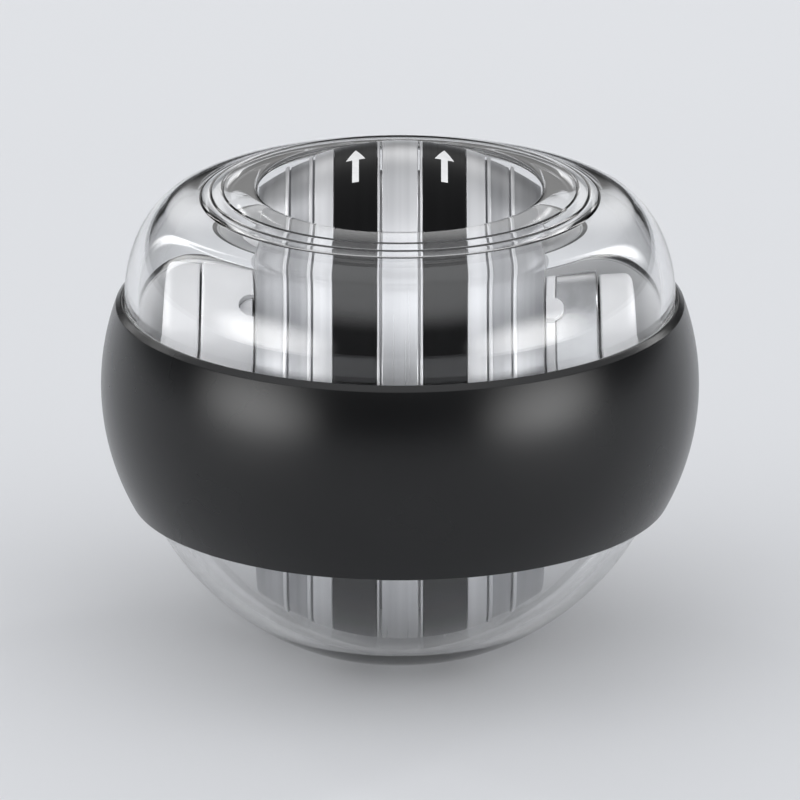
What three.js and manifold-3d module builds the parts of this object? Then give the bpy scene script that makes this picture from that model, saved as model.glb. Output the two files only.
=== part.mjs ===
// Gyroscopic wrist ball with a self-winding starter, in millimetres, +Z up.
// The rotor's centre is CENTRE_HEIGHT above the flat of the foot, and the axle lies along X.
import * as THREE from "three";
import { mergeVertices } from "three/addons/utils/BufferGeometryUtils.js";
import Module from "manifold-3d";

const wasm = await Module();
wasm.setup();

// Counts of facets and of repeated pieces
const SHELL_SIDES = 32;
const ROTOR_SIDES = 28;
const DRUM_SIDES = 20;
const SMALL_SIDES = 12;
const HOLE_SIDES = 8;
const BALL_SIDES = 6;
const ARC_STEPS = 6;
const SHOULDER_STEPS = 5;
const BOWL_STEPS = 10;
const RIM_STEPS = 3;
const LIP_STEPS = 2;
const SNAP_STEPS = 6;
const SNAP_COUNT = 3;
const SCREW_COUNT = 3;
const BALL_COUNT = 6;
const ROLLER_COUNT = 4;
const SPRING_TURNS = 4.5;
const SPRING_STEPS_PER_TURN = 16;
const MERGE_TOLERANCE = 1e-4;

// Clearances and the overrun of a cut
const RUNNING_CLEARANCE = 0.5;
const SEAT_CLEARANCE = 0.3;
const FIT_CLEARANCE = 0.12;
const OVERRUN = 1;

// Rotor: a sphere cut off flat at both ends, spinning about X
const ROTOR_HALF_WIDTH = 17;
const RIM_HALF_WIDTH = 2.15;
const RIM_GROOVE = 0.25;
const TREAD_LIP = 0.3;
const TREAD_WIDTH = 5.25;
const TREAD_SEAT_DEPTH = 2.1;
const TREAD_FLOOR = 1.5;
const SILVER_WIDTH = 2.8;
const FLANK_STRIP_WIDTH = 2.6;
const FLANK_RIB_WIDTH = 0.4;
const FLANK_DROP = 0.3;
const ROTOR_WALL = 2;
const WEIGHT_DEPTH = 6.8;
const WEIGHT_HALF_WIDTH = 8.8;
const WEB_HALF_THICKNESS = 1.5;
const HUB_RADIUS = 6;
const HUB_HALF_LENGTH = 6;
const ROTOR_BOSS_RADIUS = 8.7;
const CLUTCH_CUP_RADIUS = 7;
const CLUTCH_CUP_DEPTH = 3.6;

// Axle, stepped down to tips that roll in the race
const AXLE_RADIUS = 1.5;
const TIP_RADIUS = 1;
const TIP_CHAMFER = 0.3;

// Clear housing
const CAVITY_MARGIN = 1.95;
const SHELL_WALL = 1.45;
const FOOT_WALL = 1.3;
const FOOT_RADIUS = 7.5;
const FOOT_BLEND_ANGLE = 31;
const FOOT_SHOULDER_RADIUS = 12;
const FOOT_SHOULDER_RISE = 0.85;
const CAVITY_BLEND_ANGLE = 52;
const RACE_DEPTH = 2.05;
const RACE_CLEARANCE = 0.25;
const RACE_BACK = 0.9;
const FLANGE_HEIGHT = 4;
const FLANGE_CHAMFER = 0.8;
const JOINT_LAP_WIDTH = 0.5;
const JOINT_LAP_HEIGHT = 0.9;
const UPPER_FLANGE_DEPTH = 1.75;
const UPPER_WALL = 1.6;
const BORE_RADIUS = 17.1;
const LIP_RISE = 0.37;
const LIP_ROUND = 0.3;
const LIP_RING_WIDTHS = [1.4, 1.45, 1.15];
const LIP_CREST_WIDTH = 4.05;
const LIP_CREST_FALL = 0.22;
const LIP_RING_DROP = 0.41;
const LIP_RING_SLOPE = 0.15;
const LIP_UNDERCUT = 4;
const SHOULDER_STEP = 0.95;

// Silicone grip band over the equator
const BAND_THICKNESS = 1.1;
const BAND_TOP = 11.8;
const BAND_TOP_FALL = 0.9;
const BAND_BOTTOM = -13.6;
const BAND_EDGE = 0.3;
const BAND_BELLY_RADIUS = 29.5;
const BAND_BELLY_HEIGHT = 0.8;
const BAND_FIT = 0.15;

// Gimbal ring that carries the axle tips round the race
const RING_CLEARANCE = 0.3;
const RING_THICKNESS = 0.95;
const RING_HEIGHT = 2.2;
const EYE_RADIUS = 2.3;
const EYE_CLEARANCE = 0.2;

// End drums, counted outwards along the axle from the rotor's flat ends
const END_GAP = 0.4;
const DRUM_RADIUS = 15.8;
const DRUM_LENGTH = 6.2;
const DRUM_WALL = 1.2;
const DRUM_WEB = 1;
const DRUM_WEB_INSET = 2;
const LEFT_COVER_STEP = 0.4;
const RIGHT_COVER_STEP = 0.6;
const COVER_LENGTH = 4.157;
const COVER_WALL = 1.2;
const COVER_ROUND = 1;
const COVER_AXLE_CLEARANCE = 0.4;
const LID_THICKNESS = 0.8;
const LID_INSET = 0.2;
const SNAP_WIDTH = 3.5;
const SNAP_LENGTH = 2.1;
const SNAP_ANGLE = 58;
const BARREL_RADIUS = 14.5;
const BARREL_LENGTH = 5;
const BARREL_WALL = 0.6;
const BARREL_BEAD = 0.35;
const BARREL_BORE = 4.1;
const BARREL_LIP_HEIGHT = 0.8;
const BARREL_LIP_WIDTH = 0.6;
const SNAP_THICKNESS = 0.6;

// Ball bearings, 3 x 7 x 3
const BEARING_RADIUS = 3.5;
const BEARING_WIDTH = 3;
const RACE_SECTION = 0.6;
const BALL_RADIUS = 0.5;
const BEARING_POCKET_WALL = 1.4;
const BEARING_STOP = 0.7;

// Screws that hold the covers
const SCREW_INSET = 4.3;
const SCREW_RADIUS = 0.6;
const SCREW_HEAD_RADIUS = 1.2;
const SCREW_HEAD_HEIGHT = 0.7;
const SCREW_HEAD_SINK = 0.3;
const SCREW_SLOT = 0.35;
const SCREW_BOSS_RADIUS = 1.9;
const SCREW_BITE = 1.4;

// Starter: spring arbor, one-way roller clutch and flat spiral spring
const ARBOR_RADIUS = 3.7;
const ARBOR_AXLE_CLEARANCE = 0.25;
const CAM_RADIUS = 6.5;
const CAM_THICKNESS = 3;
const ROLLER_RADIUS = 0.9;
const ROLLER_CLEARANCE = 0.12;
const SPRING_THICKNESS = 0.4;
const SPRING_WIDTH = 3;

// Places along the axle, counted from the rotor's centre
const DRUM_START = ROTOR_HALF_WIDTH + END_GAP;
const DRUM_END = DRUM_START + DRUM_LENGTH;
const COVER_START = DRUM_END + SEAT_CLEARANCE;
const COVER_END = COVER_START + COVER_LENGTH;
const BARREL_START = DRUM_END - BARREL_LENGTH;
const EYE_START = COVER_END + SEAT_CLEARANCE;
const SPRING_START = (BARREL_START + DRUM_END - BARREL_WALL + BARREL_LIP_HEIGHT - SPRING_WIDTH) / 2;
const TREAD_START = RIM_HALF_WIDTH + RIM_GROOVE + TREAD_LIP;
const TREAD_END = TREAD_START + TREAD_WIDTH;

// The cavity just clears the rounded rim of the wider cover, and the rotor and the shells follow it
const LEFT_COVER_RADIUS = DRUM_RADIUS - LEFT_COVER_STEP;
const RIGHT_COVER_RADIUS = BARREL_RADIUS - RIGHT_COVER_STEP;
const WIDER_COVER_RADIUS = Math.max(LEFT_COVER_RADIUS, RIGHT_COVER_RADIUS);
const COVER_CORNER = Math.hypot(COVER_END - COVER_ROUND, WIDER_COVER_RADIUS - COVER_ROUND) + COVER_ROUND;
const CAVITY_RADIUS = COVER_CORNER + SEAT_CLEARANCE;
const ROTOR_RADIUS = CAVITY_RADIUS - CAVITY_MARGIN;
const SWEEP_RADIUS = ROTOR_RADIUS + RUNNING_CLEARANCE;
const TREAD_SEAT_RADIUS = ROTOR_RADIUS - TREAD_SEAT_DEPTH;
const WEIGHT_RADIUS = TREAD_SEAT_RADIUS - TREAD_FLOOR;
const WEIGHT_BORE = WEIGHT_RADIUS - WEIGHT_DEPTH;
const LOWER_RADIUS = CAVITY_RADIUS + SHELL_WALL;
const RACE_RADIUS = CAVITY_RADIUS + RACE_DEPTH;
const RACE_HALF_HEIGHT = TIP_RADIUS + RACE_CLEARANCE;
const FLANGE_RADIUS = RACE_RADIUS + RACE_BACK;
const UPPER_WALL_RADIUS = FLANGE_RADIUS - UPPER_FLANGE_DEPTH;
const BAND_RADIUS = FLANGE_RADIUS + BAND_THICKNESS;
const RING_RADIUS = CAVITY_RADIUS - RING_CLEARANCE;
const TIP_REACH = RACE_RADIUS - RING_CLEARANCE;
const SCREW_CIRCLE = Math.min(LEFT_COVER_RADIUS, RIGHT_COVER_RADIUS) - SCREW_INSET;
const CENTRE_HEIGHT = SWEEP_RADIUS + FOOT_WALL;
const LIP_BOTTOM = sphereAt(SWEEP_RADIUS, BORE_RADIUS);
const LIP_TOP = LIP_BOTTOM + LIP_RISE;

function radians(degrees) {
  return THREE.MathUtils.degToRad(degrees);
}

// The radius of a sphere at a distance from its centre along the axis
function sphereAt(radius, along) {
  return Math.sqrt(radius ** 2 - along ** 2);
}

// Points [across, along] on an arc of an ellipse, both ends included
function arc(centre, halfAxes, fromDegrees, toDegrees, steps = ARC_STEPS) {
  const points = [];
  for (let step = 0; step <= steps; step += 1) {
    const angle = radians(fromDegrees + ((toDegrees - fromDegrees) * step) / steps);
    points.push([centre[0] + halfAxes[0] * Math.cos(angle), centre[1] + halfAxes[1] * Math.sin(angle)]);
  }
  return points;
}

// One closed body with shared vertices and its faces pointing outwards
function closed(geometry) {
  geometry.deleteAttribute("normal");
  geometry.deleteAttribute("uv");
  const merged = mergeVertices(geometry, MERGE_TOLERANCE);
  const position = merged.getAttribute("position");
  const corners = [new THREE.Vector3(), new THREE.Vector3(), new THREE.Vector3()];
  const index = [];
  let volume = 0;
  for (let first = 0; first < merged.index.count; first += 3) {
    const ids = [0, 1, 2].map((corner) => merged.index.getX(first + corner));
    if (new Set(ids).size < ids.length) {
      continue;
    }
    ids.forEach((id, corner) => corners[corner].fromBufferAttribute(position, id));
    volume += corners[0].dot(corners[1].cross(corners[2]));
    index.push(...ids);
  }
  merged.setIndex(volume < 0 ? index.reverse() : index);
  return merged;
}

function lathe(outline, sides) {
  return new THREE.LatheGeometry(outline.map(([across, along]) => new THREE.Vector2(across, along)), sides);
}

// A turned body about Z, hollow at its axis, from a closed outline of [radius, height]
function turnedAboutZ(outline, sides) {
  return closed(lathe([...outline, outline[0]], sides).rotateX(radians(90)));
}

// A bowl about Z, from an outline that starts and ends on the axis
function bowlAboutZ(outline, sides) {
  return closed(lathe(outline, sides).rotateX(radians(90)));
}

// A turned body about X, hollow at its axis, from a closed outline of [radius, place along X]
function turnedAboutX(outline, sides) {
  return closed(lathe([...outline, outline[0]], sides).rotateZ(radians(-90)));
}

// A solid rod along X, turned from an outline that starts and ends on the axis
function rodAboutX(outline, sides) {
  return closed(lathe(outline, sides).rotateZ(radians(-90)));
}

// A plain round bar along X between two places
function barAlongX(radius, from, to, sides = SMALL_SIDES) {
  return rodAboutX([[0, from], [radius, from], [radius, to], [0, to]], sides);
}

// A closed outline in the plane across X, extruded along X between two places
function platesAlongX(shape, from, to) {
  const plate = new THREE.ExtrudeGeometry(shape, { depth: to - from, bevelEnabled: false, curveSegments: SMALL_SIDES });
  return closed(plate.rotateX(radians(90)).rotateZ(radians(90)).translate(from, 0, 0));
}

function solidOf(geometry) {
  const vertProperties = new Float32Array(geometry.getAttribute("position").array);
  const triVerts = new Uint32Array(geometry.index.array);
  return new wasm.Manifold(new wasm.Mesh({ numProp: 3, vertProperties, triVerts }));
}

function geometryOf(solid) {
  const { vertProperties, triVerts } = solid.getMesh();
  const geometry = new THREE.BufferGeometry();
  geometry.setAttribute("position", new THREE.BufferAttribute(new Float32Array(vertProperties), 3));
  geometry.setIndex([...triVerts]);
  return geometry;
}

function joined(base, additions) {
  return geometryOf(additions.reduce((whole, extra) => whole.add(solidOf(extra)), solidOf(base)));
}

function cut(base, tools) {
  return geometryOf(tools.reduce((whole, tool) => whole.subtract(solidOf(tool)), solidOf(base)));
}

// Copies of a geometry spread evenly round X
function aroundX(geometry, count, firstDegrees = 0) {
  return Array.from({ length: count }, (_, copy) => (
    geometry.clone().rotateX(radians(firstDegrees + (360 * copy) / count))
  ));
}

// The same geometry on the other side of the rotor
function mirrored(geometry) {
  return closed(geometry.clone().scale(-1, 1, 1));
}

function piece(name, geometry, material) {
  geometry.computeVertexNormals();
  const mesh = new THREE.Mesh(geometry, material());
  mesh.name = name;
  return mesh;
}

function clearPlastic() {
  return new THREE.MeshStandardMaterial({
    color: 0xe9edf0, roughness: 0.06, metalness: 0, transparent: true, opacity: 0.3,
  });
}

function blackSilicone() {
  return new THREE.MeshStandardMaterial({ color: 0x1c1d1f, roughness: 0.62, metalness: 0 });
}

function whitePlastic() {
  return new THREE.MeshStandardMaterial({ color: 0xe6e7e8, roughness: 0.4, metalness: 0 });
}

function silverPlastic() {
  return new THREE.MeshStandardMaterial({ color: 0xa9adb1, roughness: 0.38, metalness: 0.6 });
}

function blackPlastic() {
  return new THREE.MeshStandardMaterial({ color: 0x101112, roughness: 0.35, metalness: 0 });
}

function castZinc() {
  return new THREE.MeshStandardMaterial({ color: 0xb8bbbe, roughness: 0.3, metalness: 1 });
}

function brightSteel() {
  return new THREE.MeshStandardMaterial({ color: 0xc4c7ca, roughness: 0.2, metalness: 1 });
}

function springSteel() {
  return new THREE.MeshStandardMaterial({ color: 0x6e747c, roughness: 0.35, metalness: 1 });
}

// Lower shell: a bowl with a flat foot, half of the race and the inner half of the joint's lap
function lowerShell() {
  const outerTop = Math.asin((FLANGE_HEIGHT + FLANGE_CHAMFER) / LOWER_RADIUS);
  const outerTopDegrees = -THREE.MathUtils.radToDeg(outerTop);
  const outer = arc([0, 0], [LOWER_RADIUS, LOWER_RADIUS], outerTopDegrees, FOOT_BLEND_ANGLE - 90);
  const inner = [];
  for (let step = 0; step <= BOWL_STEPS; step += 1) {
    const fromPole = (90 * step) / BOWL_STEPS;
    const blend = THREE.MathUtils.smoothstep(fromPole, 0, CAVITY_BLEND_ANGLE);
    const radius = THREE.MathUtils.lerp(CENTRE_HEIGHT - FOOT_WALL, CAVITY_RADIUS, blend);
    inner.push([radius * Math.sin(radians(fromPole)), -radius * Math.cos(radians(fromPole))]);
  }
  inner[BOWL_STEPS] = [sphereAt(CAVITY_RADIUS, RACE_HALF_HEIGHT), -RACE_HALF_HEIGHT];
  const outline = [
    ...inner,
    [RACE_RADIUS, -RACE_HALF_HEIGHT],
    [RACE_RADIUS, 0],
    [FLANGE_RADIUS - JOINT_LAP_WIDTH - FIT_CLEARANCE, 0],
    [FLANGE_RADIUS - JOINT_LAP_WIDTH - FIT_CLEARANCE, -JOINT_LAP_HEIGHT],
    [FLANGE_RADIUS, -JOINT_LAP_HEIGHT],
    [FLANGE_RADIUS, -FLANGE_HEIGHT],
    ...outer,
    [FOOT_SHOULDER_RADIUS, FOOT_SHOULDER_RISE - CENTRE_HEIGHT],
    [FOOT_RADIUS, -CENTRE_HEIGHT],
    [0, -CENTRE_HEIGHT],
  ];
  return piece("lower_shell", bowlAboutZ(outline, SHELL_SIDES), clearPlastic);
}

// The lip round the opening: three rings stepping up to a crest that rolls into the bore
function lipOutline() {
  const rings = [];
  let radius = BORE_RADIUS + LIP_CREST_WIDTH;
  let height = LIP_TOP - LIP_CREST_FALL;
  const crest = [
    ...arc([BORE_RADIUS + LIP_ROUND, LIP_TOP - LIP_ROUND], [LIP_ROUND, LIP_ROUND], 180, 90, LIP_STEPS),
    [radius, height],
  ];
  LIP_RING_WIDTHS.forEach((width) => {
    height -= LIP_RING_DROP;
    rings.push([radius + LIP_RING_SLOPE, height]);
    radius += width;
    rings.push([radius, height]);
  });
  return [[BORE_RADIUS, LIP_BOTTOM], ...crest, ...rings.slice(0, -1)];
}

// Upper shell: rounded shoulder and ringed lip, half of the race and the outer half of the lap
function upperShell() {
  const lip = lipOutline();
  const [lipEdge, lipFoot] = lip[lip.length - 1];
  const shoulderTop = lipFoot - LIP_RING_SLOPE;
  const shoulderEdge = lipEdge + SHOULDER_STEP;
  const shoulder = arc(
    [shoulderEdge, BAND_TOP],
    [UPPER_WALL_RADIUS - shoulderEdge, shoulderTop - BAND_TOP],
    90,
    0,
    SHOULDER_STEPS,
  );
  const inside = arc(
    [shoulderEdge, BAND_TOP],
    [UPPER_WALL_RADIUS - shoulderEdge - UPPER_WALL, shoulderTop - BAND_TOP - UPPER_WALL],
    0,
    90,
    SHOULDER_STEPS,
  );
  const outline = [
    ...lip,
    ...shoulder,
    [UPPER_WALL_RADIUS, FLANGE_HEIGHT + FLANGE_CHAMFER],
    [FLANGE_RADIUS, FLANGE_HEIGHT],
    [FLANGE_RADIUS, -JOINT_LAP_HEIGHT + FIT_CLEARANCE],
    [FLANGE_RADIUS - JOINT_LAP_WIDTH, -JOINT_LAP_HEIGHT + FIT_CLEARANCE],
    [FLANGE_RADIUS - JOINT_LAP_WIDTH, 0],
    [RACE_RADIUS, 0],
    [RACE_RADIUS, RACE_HALF_HEIGHT],
    [sphereAt(CAVITY_RADIUS, RACE_HALF_HEIGHT), RACE_HALF_HEIGHT],
    [sphereAt(CAVITY_RADIUS, FLANGE_HEIGHT), FLANGE_HEIGHT],
    ...inside,
    [BORE_RADIUS + LIP_UNDERCUT, sphereAt(SWEEP_RADIUS, BORE_RADIUS + LIP_UNDERCUT) + UPPER_WALL / 2],
    [BORE_RADIUS + LIP_UNDERCUT / 2, sphereAt(SWEEP_RADIUS, BORE_RADIUS + LIP_UNDERCUT / 2) + FIT_CLEARANCE],
  ];
  return piece("upper_shell", turnedAboutZ(outline, SHELL_SIDES), clearPlastic);
}

// Grip band: a silicone sleeve that hooks over the flanges of both shells
function gripBand() {
  const bellyCentre = [BAND_RADIUS - BAND_BELLY_RADIUS, BAND_BELLY_HEIGHT];
  const topOuter = BAND_TOP - BAND_TOP_FALL;
  const bellyAngle = (height) => (
    THREE.MathUtils.radToDeg(Math.asin((height - BAND_BELLY_HEIGHT) / BAND_BELLY_RADIUS))
  );
  const lowerEdge = BAND_BOTTOM + BAND_EDGE;
  const belly = arc(
    bellyCentre,
    [BAND_BELLY_RADIUS, BAND_BELLY_RADIUS],
    bellyAngle(lowerEdge),
    bellyAngle(topOuter),
    ARC_STEPS + 1,
  );
  const innerWall = UPPER_WALL_RADIUS + BAND_FIT;
  const hook = FLANGE_HEIGHT + FLANGE_CHAMFER + BAND_FIT;
  const lowerInside = (height) => [sphereAt(LOWER_RADIUS + BAND_FIT, height), height];
  const outline = [
    ...belly,
    [innerWall, BAND_TOP],
    [innerWall, hook],
    [FLANGE_RADIUS + BAND_FIT, FLANGE_HEIGHT],
    [FLANGE_RADIUS + BAND_FIT, -FLANGE_HEIGHT - BAND_FIT],
    lowerInside(-hook - BAND_FIT),
    lowerInside((BAND_BOTTOM - hook) / 2),
    lowerInside(BAND_BOTTOM),
  ];
  return piece("grip_band", turnedAboutZ(outline, SHELL_SIDES), blackSilicone);
}

// Gimbal ring with an eye at each end for the axle tips
function gimbalRing() {
  const inner = RING_RADIUS - RING_THICKNESS;
  const half = RING_HEIGHT / 2;
  const hoop = turnedAboutZ([[inner, -half], [RING_RADIUS, -half], [RING_RADIUS, half], [inner, half]], SHELL_SIDES);
  const eyeEnd = sphereAt(RING_RADIUS, EYE_RADIUS);
  const eyes = [barAlongX(EYE_RADIUS, EYE_START, eyeEnd), barAlongX(EYE_RADIUS, -eyeEnd, -EYE_START)];
  const bore = barAlongX(TIP_RADIUS + EYE_CLEARANCE, -CAVITY_RADIUS - OVERRUN, CAVITY_RADIUS + OVERRUN);
  return piece("gimbal_ring", cut(joined(hoop, eyes), [bore]), blackPlastic);
}

// The U-shaped outline of a snap tab or its window, round end outwards along X
function snapShape(width, length) {
  const half = width / 2;
  const shape = new THREE.Shape();
  shape.moveTo(-OVERRUN, -half);
  shape.lineTo(length - half, -half);
  shape.absarc(length - half, 0, half, -Math.PI / 2, Math.PI / 2, false);
  shape.lineTo(-OVERRUN, half);
  shape.closePath();
  return shape;
}

// A block with the snap outline between two radii, standing up from the axle
function snapBlock(width, length, from, to, start) {
  const sweep = { depth: to - from, bevelEnabled: false, curveSegments: SNAP_STEPS };
  return closed(new THREE.ExtrudeGeometry(snapShape(width, length), sweep).translate(start, 0, from));
}

// A trimming disc that keeps a snap tab level with the face it grows from
function faceTrim(start) {
  const reach = Math.max(DRUM_RADIUS, BARREL_RADIUS) + OVERRUN;
  return barAlongX(reach, start - OVERRUN * 2, start, DRUM_SIDES);
}

// Left drum: holds the left bearing in its hub, with windows for the lid's snap tabs
function bearingHousing() {
  const webStart = DRUM_END - DRUM_WEB_INSET - DRUM_WEB;
  const webEnd = DRUM_END - DRUM_WEB_INSET;
  const hub = BEARING_RADIUS + BEARING_POCKET_WALL;
  const pocketStart = DRUM_END - BEARING_WIDTH - FIT_CLEARANCE;
  const pocket = BEARING_RADIUS + FIT_CLEARANCE;
  const inner = DRUM_RADIUS - DRUM_WALL;
  const cup = turnedAboutX([
    [DRUM_RADIUS, DRUM_START],
    [DRUM_RADIUS, DRUM_END],
    [inner, DRUM_END],
    [inner, webEnd],
    [hub, webEnd],
    [hub, DRUM_END],
    [pocket, DRUM_END],
    [pocket, pocketStart],
    [BEARING_RADIUS - RACE_SECTION, pocketStart],
    [BEARING_RADIUS - RACE_SECTION, pocketStart - BEARING_STOP],
    [hub, pocketStart - BEARING_STOP],
    [hub, webStart],
    [inner, webStart],
    [inner, DRUM_START],
  ], DRUM_SIDES);
  const boss = barAlongX(SCREW_BOSS_RADIUS, webStart, DRUM_END).translate(0, 0, SCREW_CIRCLE);
  const hole = barAlongX(SCREW_RADIUS + FIT_CLEARANCE, webStart - OVERRUN, DRUM_END + OVERRUN, HOLE_SIDES)
    .translate(0, 0, SCREW_CIRCLE);
  const window = snapBlock(
    SNAP_WIDTH + SEAT_CLEARANCE,
    SNAP_LENGTH + SEAT_CLEARANCE,
    inner - OVERRUN,
    DRUM_RADIUS + OVERRUN,
    DRUM_START,
  );
  const housing = cut(joined(cup, aroundX(boss, SCREW_COUNT)), [
    ...aroundX(hole, SCREW_COUNT),
    ...aroundX(window, SNAP_COUNT, 90 - SNAP_ANGLE),
  ]);
  return piece("bearing_housing", mirrored(housing), whitePlastic);
}

// Lid of the left drum, held by snap tabs that reach into the windows
function housingLid() {
  const start = DRUM_START + LID_INSET;
  const rim = DRUM_RADIUS - DRUM_WALL - SEAT_CLEARANCE;
  const bore = BEARING_RADIUS + FIT_CLEARANCE;
  const plate = turnedAboutX([
    [bore, start],
    [rim, start],
    [rim, start + LID_THICKNESS],
    [bore, start + LID_THICKNESS],
  ], DRUM_SIDES);
  const tab = snapBlock(
    SNAP_WIDTH - SEAT_CLEARANCE,
    SNAP_LENGTH - SEAT_CLEARANCE,
    rim - DRUM_WALL,
    DRUM_RADIUS - FIT_CLEARANCE,
    DRUM_START,
  );
  const lid = cut(joined(plate, aroundX(tab, SNAP_COUNT, 90 - SNAP_ANGLE)), [faceTrim(start)]);
  return piece("housing_lid", mirrored(lid), whitePlastic);
}

// A dished end cover with screw bosses, notched where the gimbal ring keys into its rim
function endCover(radius, hubOutline) {
  const inner = radius - COVER_WALL;
  const faceInside = COVER_END - COVER_WALL;
  const axleHole = AXLE_RADIUS + COVER_AXLE_CLEARANCE;
  const rimCentre = [radius - COVER_ROUND, COVER_END - COVER_ROUND];
  const rim = arc(rimCentre, [COVER_ROUND, COVER_ROUND], 0, 90, RIM_STEPS);
  const dish = turnedAboutX([
    [radius, COVER_START],
    ...rim,
    [axleHole, COVER_END],
    ...hubOutline(faceInside, axleHole),
    [inner, faceInside],
    [inner, COVER_START],
  ], DRUM_SIDES);
  const boss = barAlongX(SCREW_BOSS_RADIUS, COVER_START, COVER_END - COVER_WALL / 2).translate(0, 0, SCREW_CIRCLE);
  const hole = barAlongX(SCREW_RADIUS + FIT_CLEARANCE, COVER_START - OVERRUN, COVER_END + OVERRUN, HOLE_SIDES)
    .translate(0, 0, SCREW_CIRCLE);
  const sink = barAlongX(
    SCREW_HEAD_RADIUS + FIT_CLEARANCE,
    COVER_END - SCREW_HEAD_SINK - SCREW_HEAD_HEIGHT,
    COVER_END + OVERRUN,
  ).translate(0, 0, SCREW_CIRCLE);
  const keyInner = RING_RADIUS - RING_THICKNESS - SEAT_CLEARANCE;
  const keyHalf = RING_HEIGHT / 2 + SEAT_CLEARANCE;
  const keyOuter = CAVITY_RADIUS + OVERRUN;
  const key = turnedAboutZ([
    [keyInner, -keyHalf],
    [keyOuter, -keyHalf],
    [keyOuter, keyHalf],
    [keyInner, keyHalf],
  ], SHELL_SIDES);
  return cut(joined(dish, aroundX(boss, SCREW_COUNT)), [
    ...aroundX(hole, SCREW_COUNT),
    ...aroundX(sink, SCREW_COUNT),
    key,
  ]);
}

// Left cover, whose short boss stops the left bearing from sliding out
function leftCover() {
  const boss = (faceInside, axleHole) => [
    [axleHole, COVER_START],
    [BEARING_RADIUS, COVER_START],
    [BEARING_RADIUS, faceInside],
  ];
  return piece("left_cover", mirrored(endCover(LEFT_COVER_RADIUS, boss)), whitePlastic);
}

// Right cover, whose hub is the pocket of the right bearing
function rightCover() {
  const pocket = BEARING_RADIUS + FIT_CLEARANCE;
  const pocketEnd = COVER_START + BEARING_WIDTH + SEAT_CLEARANCE;
  const hub = BEARING_RADIUS + BEARING_POCKET_WALL;
  const pocketOutline = (faceInside, axleHole) => [
    [axleHole, pocketEnd],
    [pocket, pocketEnd],
    [pocket, COVER_START],
    [hub, COVER_START],
    [hub, faceInside],
  ];
  return piece("right_cover", endCover(RIGHT_COVER_RADIUS, pocketOutline), whitePlastic);
}

// Spring barrel: a drawn steel drum with a rolled bead, open towards the rotor
function springBarrel() {
  const inner = BARREL_RADIUS - BARREL_WALL;
  const floor = DRUM_END - BARREL_WALL;
  const drum = turnedAboutX([
    [BARREL_RADIUS, BARREL_START],
    [BARREL_RADIUS, DRUM_END - BARREL_BEAD],
    [BARREL_RADIUS - BARREL_BEAD, DRUM_END],
    [BARREL_BORE, DRUM_END],
    [BARREL_BORE, floor],
    [inner, floor],
    [inner, BARREL_START],
  ], DRUM_SIDES);
  const hole = barAlongX(SCREW_RADIUS + FIT_CLEARANCE, floor - OVERRUN, DRUM_END + OVERRUN, HOLE_SIDES)
    .translate(0, 0, SCREW_CIRCLE);
  return piece("spring_barrel", cut(drum, aroundX(hole, SCREW_COUNT)), brightSteel);
}

// Lid of the barrel, with snap tabs that lap over the steel
function barrelLid() {
  const lipOuter = BARREL_RADIUS - BARREL_WALL - SEAT_CLEARANCE;
  const bore = ARBOR_RADIUS + SEAT_CLEARANCE;
  const plateEnd = BARREL_START - FIT_CLEARANCE;
  const plate = turnedAboutX([
    [bore, DRUM_START],
    [BARREL_RADIUS, DRUM_START],
    [BARREL_RADIUS, plateEnd],
    [lipOuter, plateEnd],
    [lipOuter, BARREL_START + BARREL_LIP_HEIGHT],
    [lipOuter - BARREL_LIP_WIDTH, BARREL_START + BARREL_LIP_HEIGHT],
    [lipOuter - BARREL_LIP_WIDTH, plateEnd],
    [bore, plateEnd],
  ], DRUM_SIDES);
  const lap = BARREL_RADIUS + FIT_CLEARANCE;
  const tab = snapBlock(SNAP_WIDTH, SNAP_LENGTH, lap, lap + SNAP_THICKNESS, DRUM_START);
  const rootEnd = plateEnd - DRUM_START;
  const root = snapBlock(rootEnd * 2, rootEnd, lipOuter, lap + SNAP_THICKNESS, DRUM_START)
    .scale(1, SNAP_WIDTH / (rootEnd * 2), 1);
  const tabs = aroundX(tab, SNAP_COUNT, 90 - SNAP_ANGLE);
  const roots = aroundX(root, SNAP_COUNT, 90 - SNAP_ANGLE);
  const lid = cut(joined(plate, [...tabs, ...roots]), [faceTrim(DRUM_START)]);
  return piece("barrel_lid", lid, whitePlastic);
}

// Cover screws: flat heads with a straight slot
function coverScrews(side, tipReach, place) {
  const headTop = COVER_END - SCREW_HEAD_SINK;
  const headFoot = headTop - SCREW_HEAD_HEIGHT + FIT_CLEARANCE;
  const screw = rodAboutX([
    [0, tipReach],
    [SCREW_RADIUS, tipReach],
    [SCREW_RADIUS, headFoot],
    [SCREW_HEAD_RADIUS, headFoot],
    [SCREW_HEAD_RADIUS, headTop],
    [0, headTop],
  ], HOLE_SIDES);
  const slotLength = (SCREW_HEAD_RADIUS + OVERRUN) * 2;
  const slot = closed(new THREE.BoxGeometry(SCREW_SLOT * 2, SCREW_SLOT, slotLength).translate(headTop, 0, 0));
  const slotted = cut(screw, [slot]).translate(0, 0, SCREW_CIRCLE);
  return aroundX(slotted, SCREW_COUNT).map((geometry, copy) => (
    piece(`${side}_cover_screw_${copy + 1}`, place(geometry), brightSteel)
  ));
}

// A bearing race between two radii, with a shallow groove where the balls run
function bearingRace(shoulder, back, grooveFloor, start) {
  const middle = start + BEARING_WIDTH / 2;
  return turnedAboutX([
    [back, start],
    [back, start + BEARING_WIDTH],
    [shoulder, start + BEARING_WIDTH],
    [shoulder, middle + BALL_RADIUS],
    [grooveFloor, middle],
    [shoulder, middle - BALL_RADIUS],
    [shoulder, start],
  ], SMALL_SIDES);
}

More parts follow.
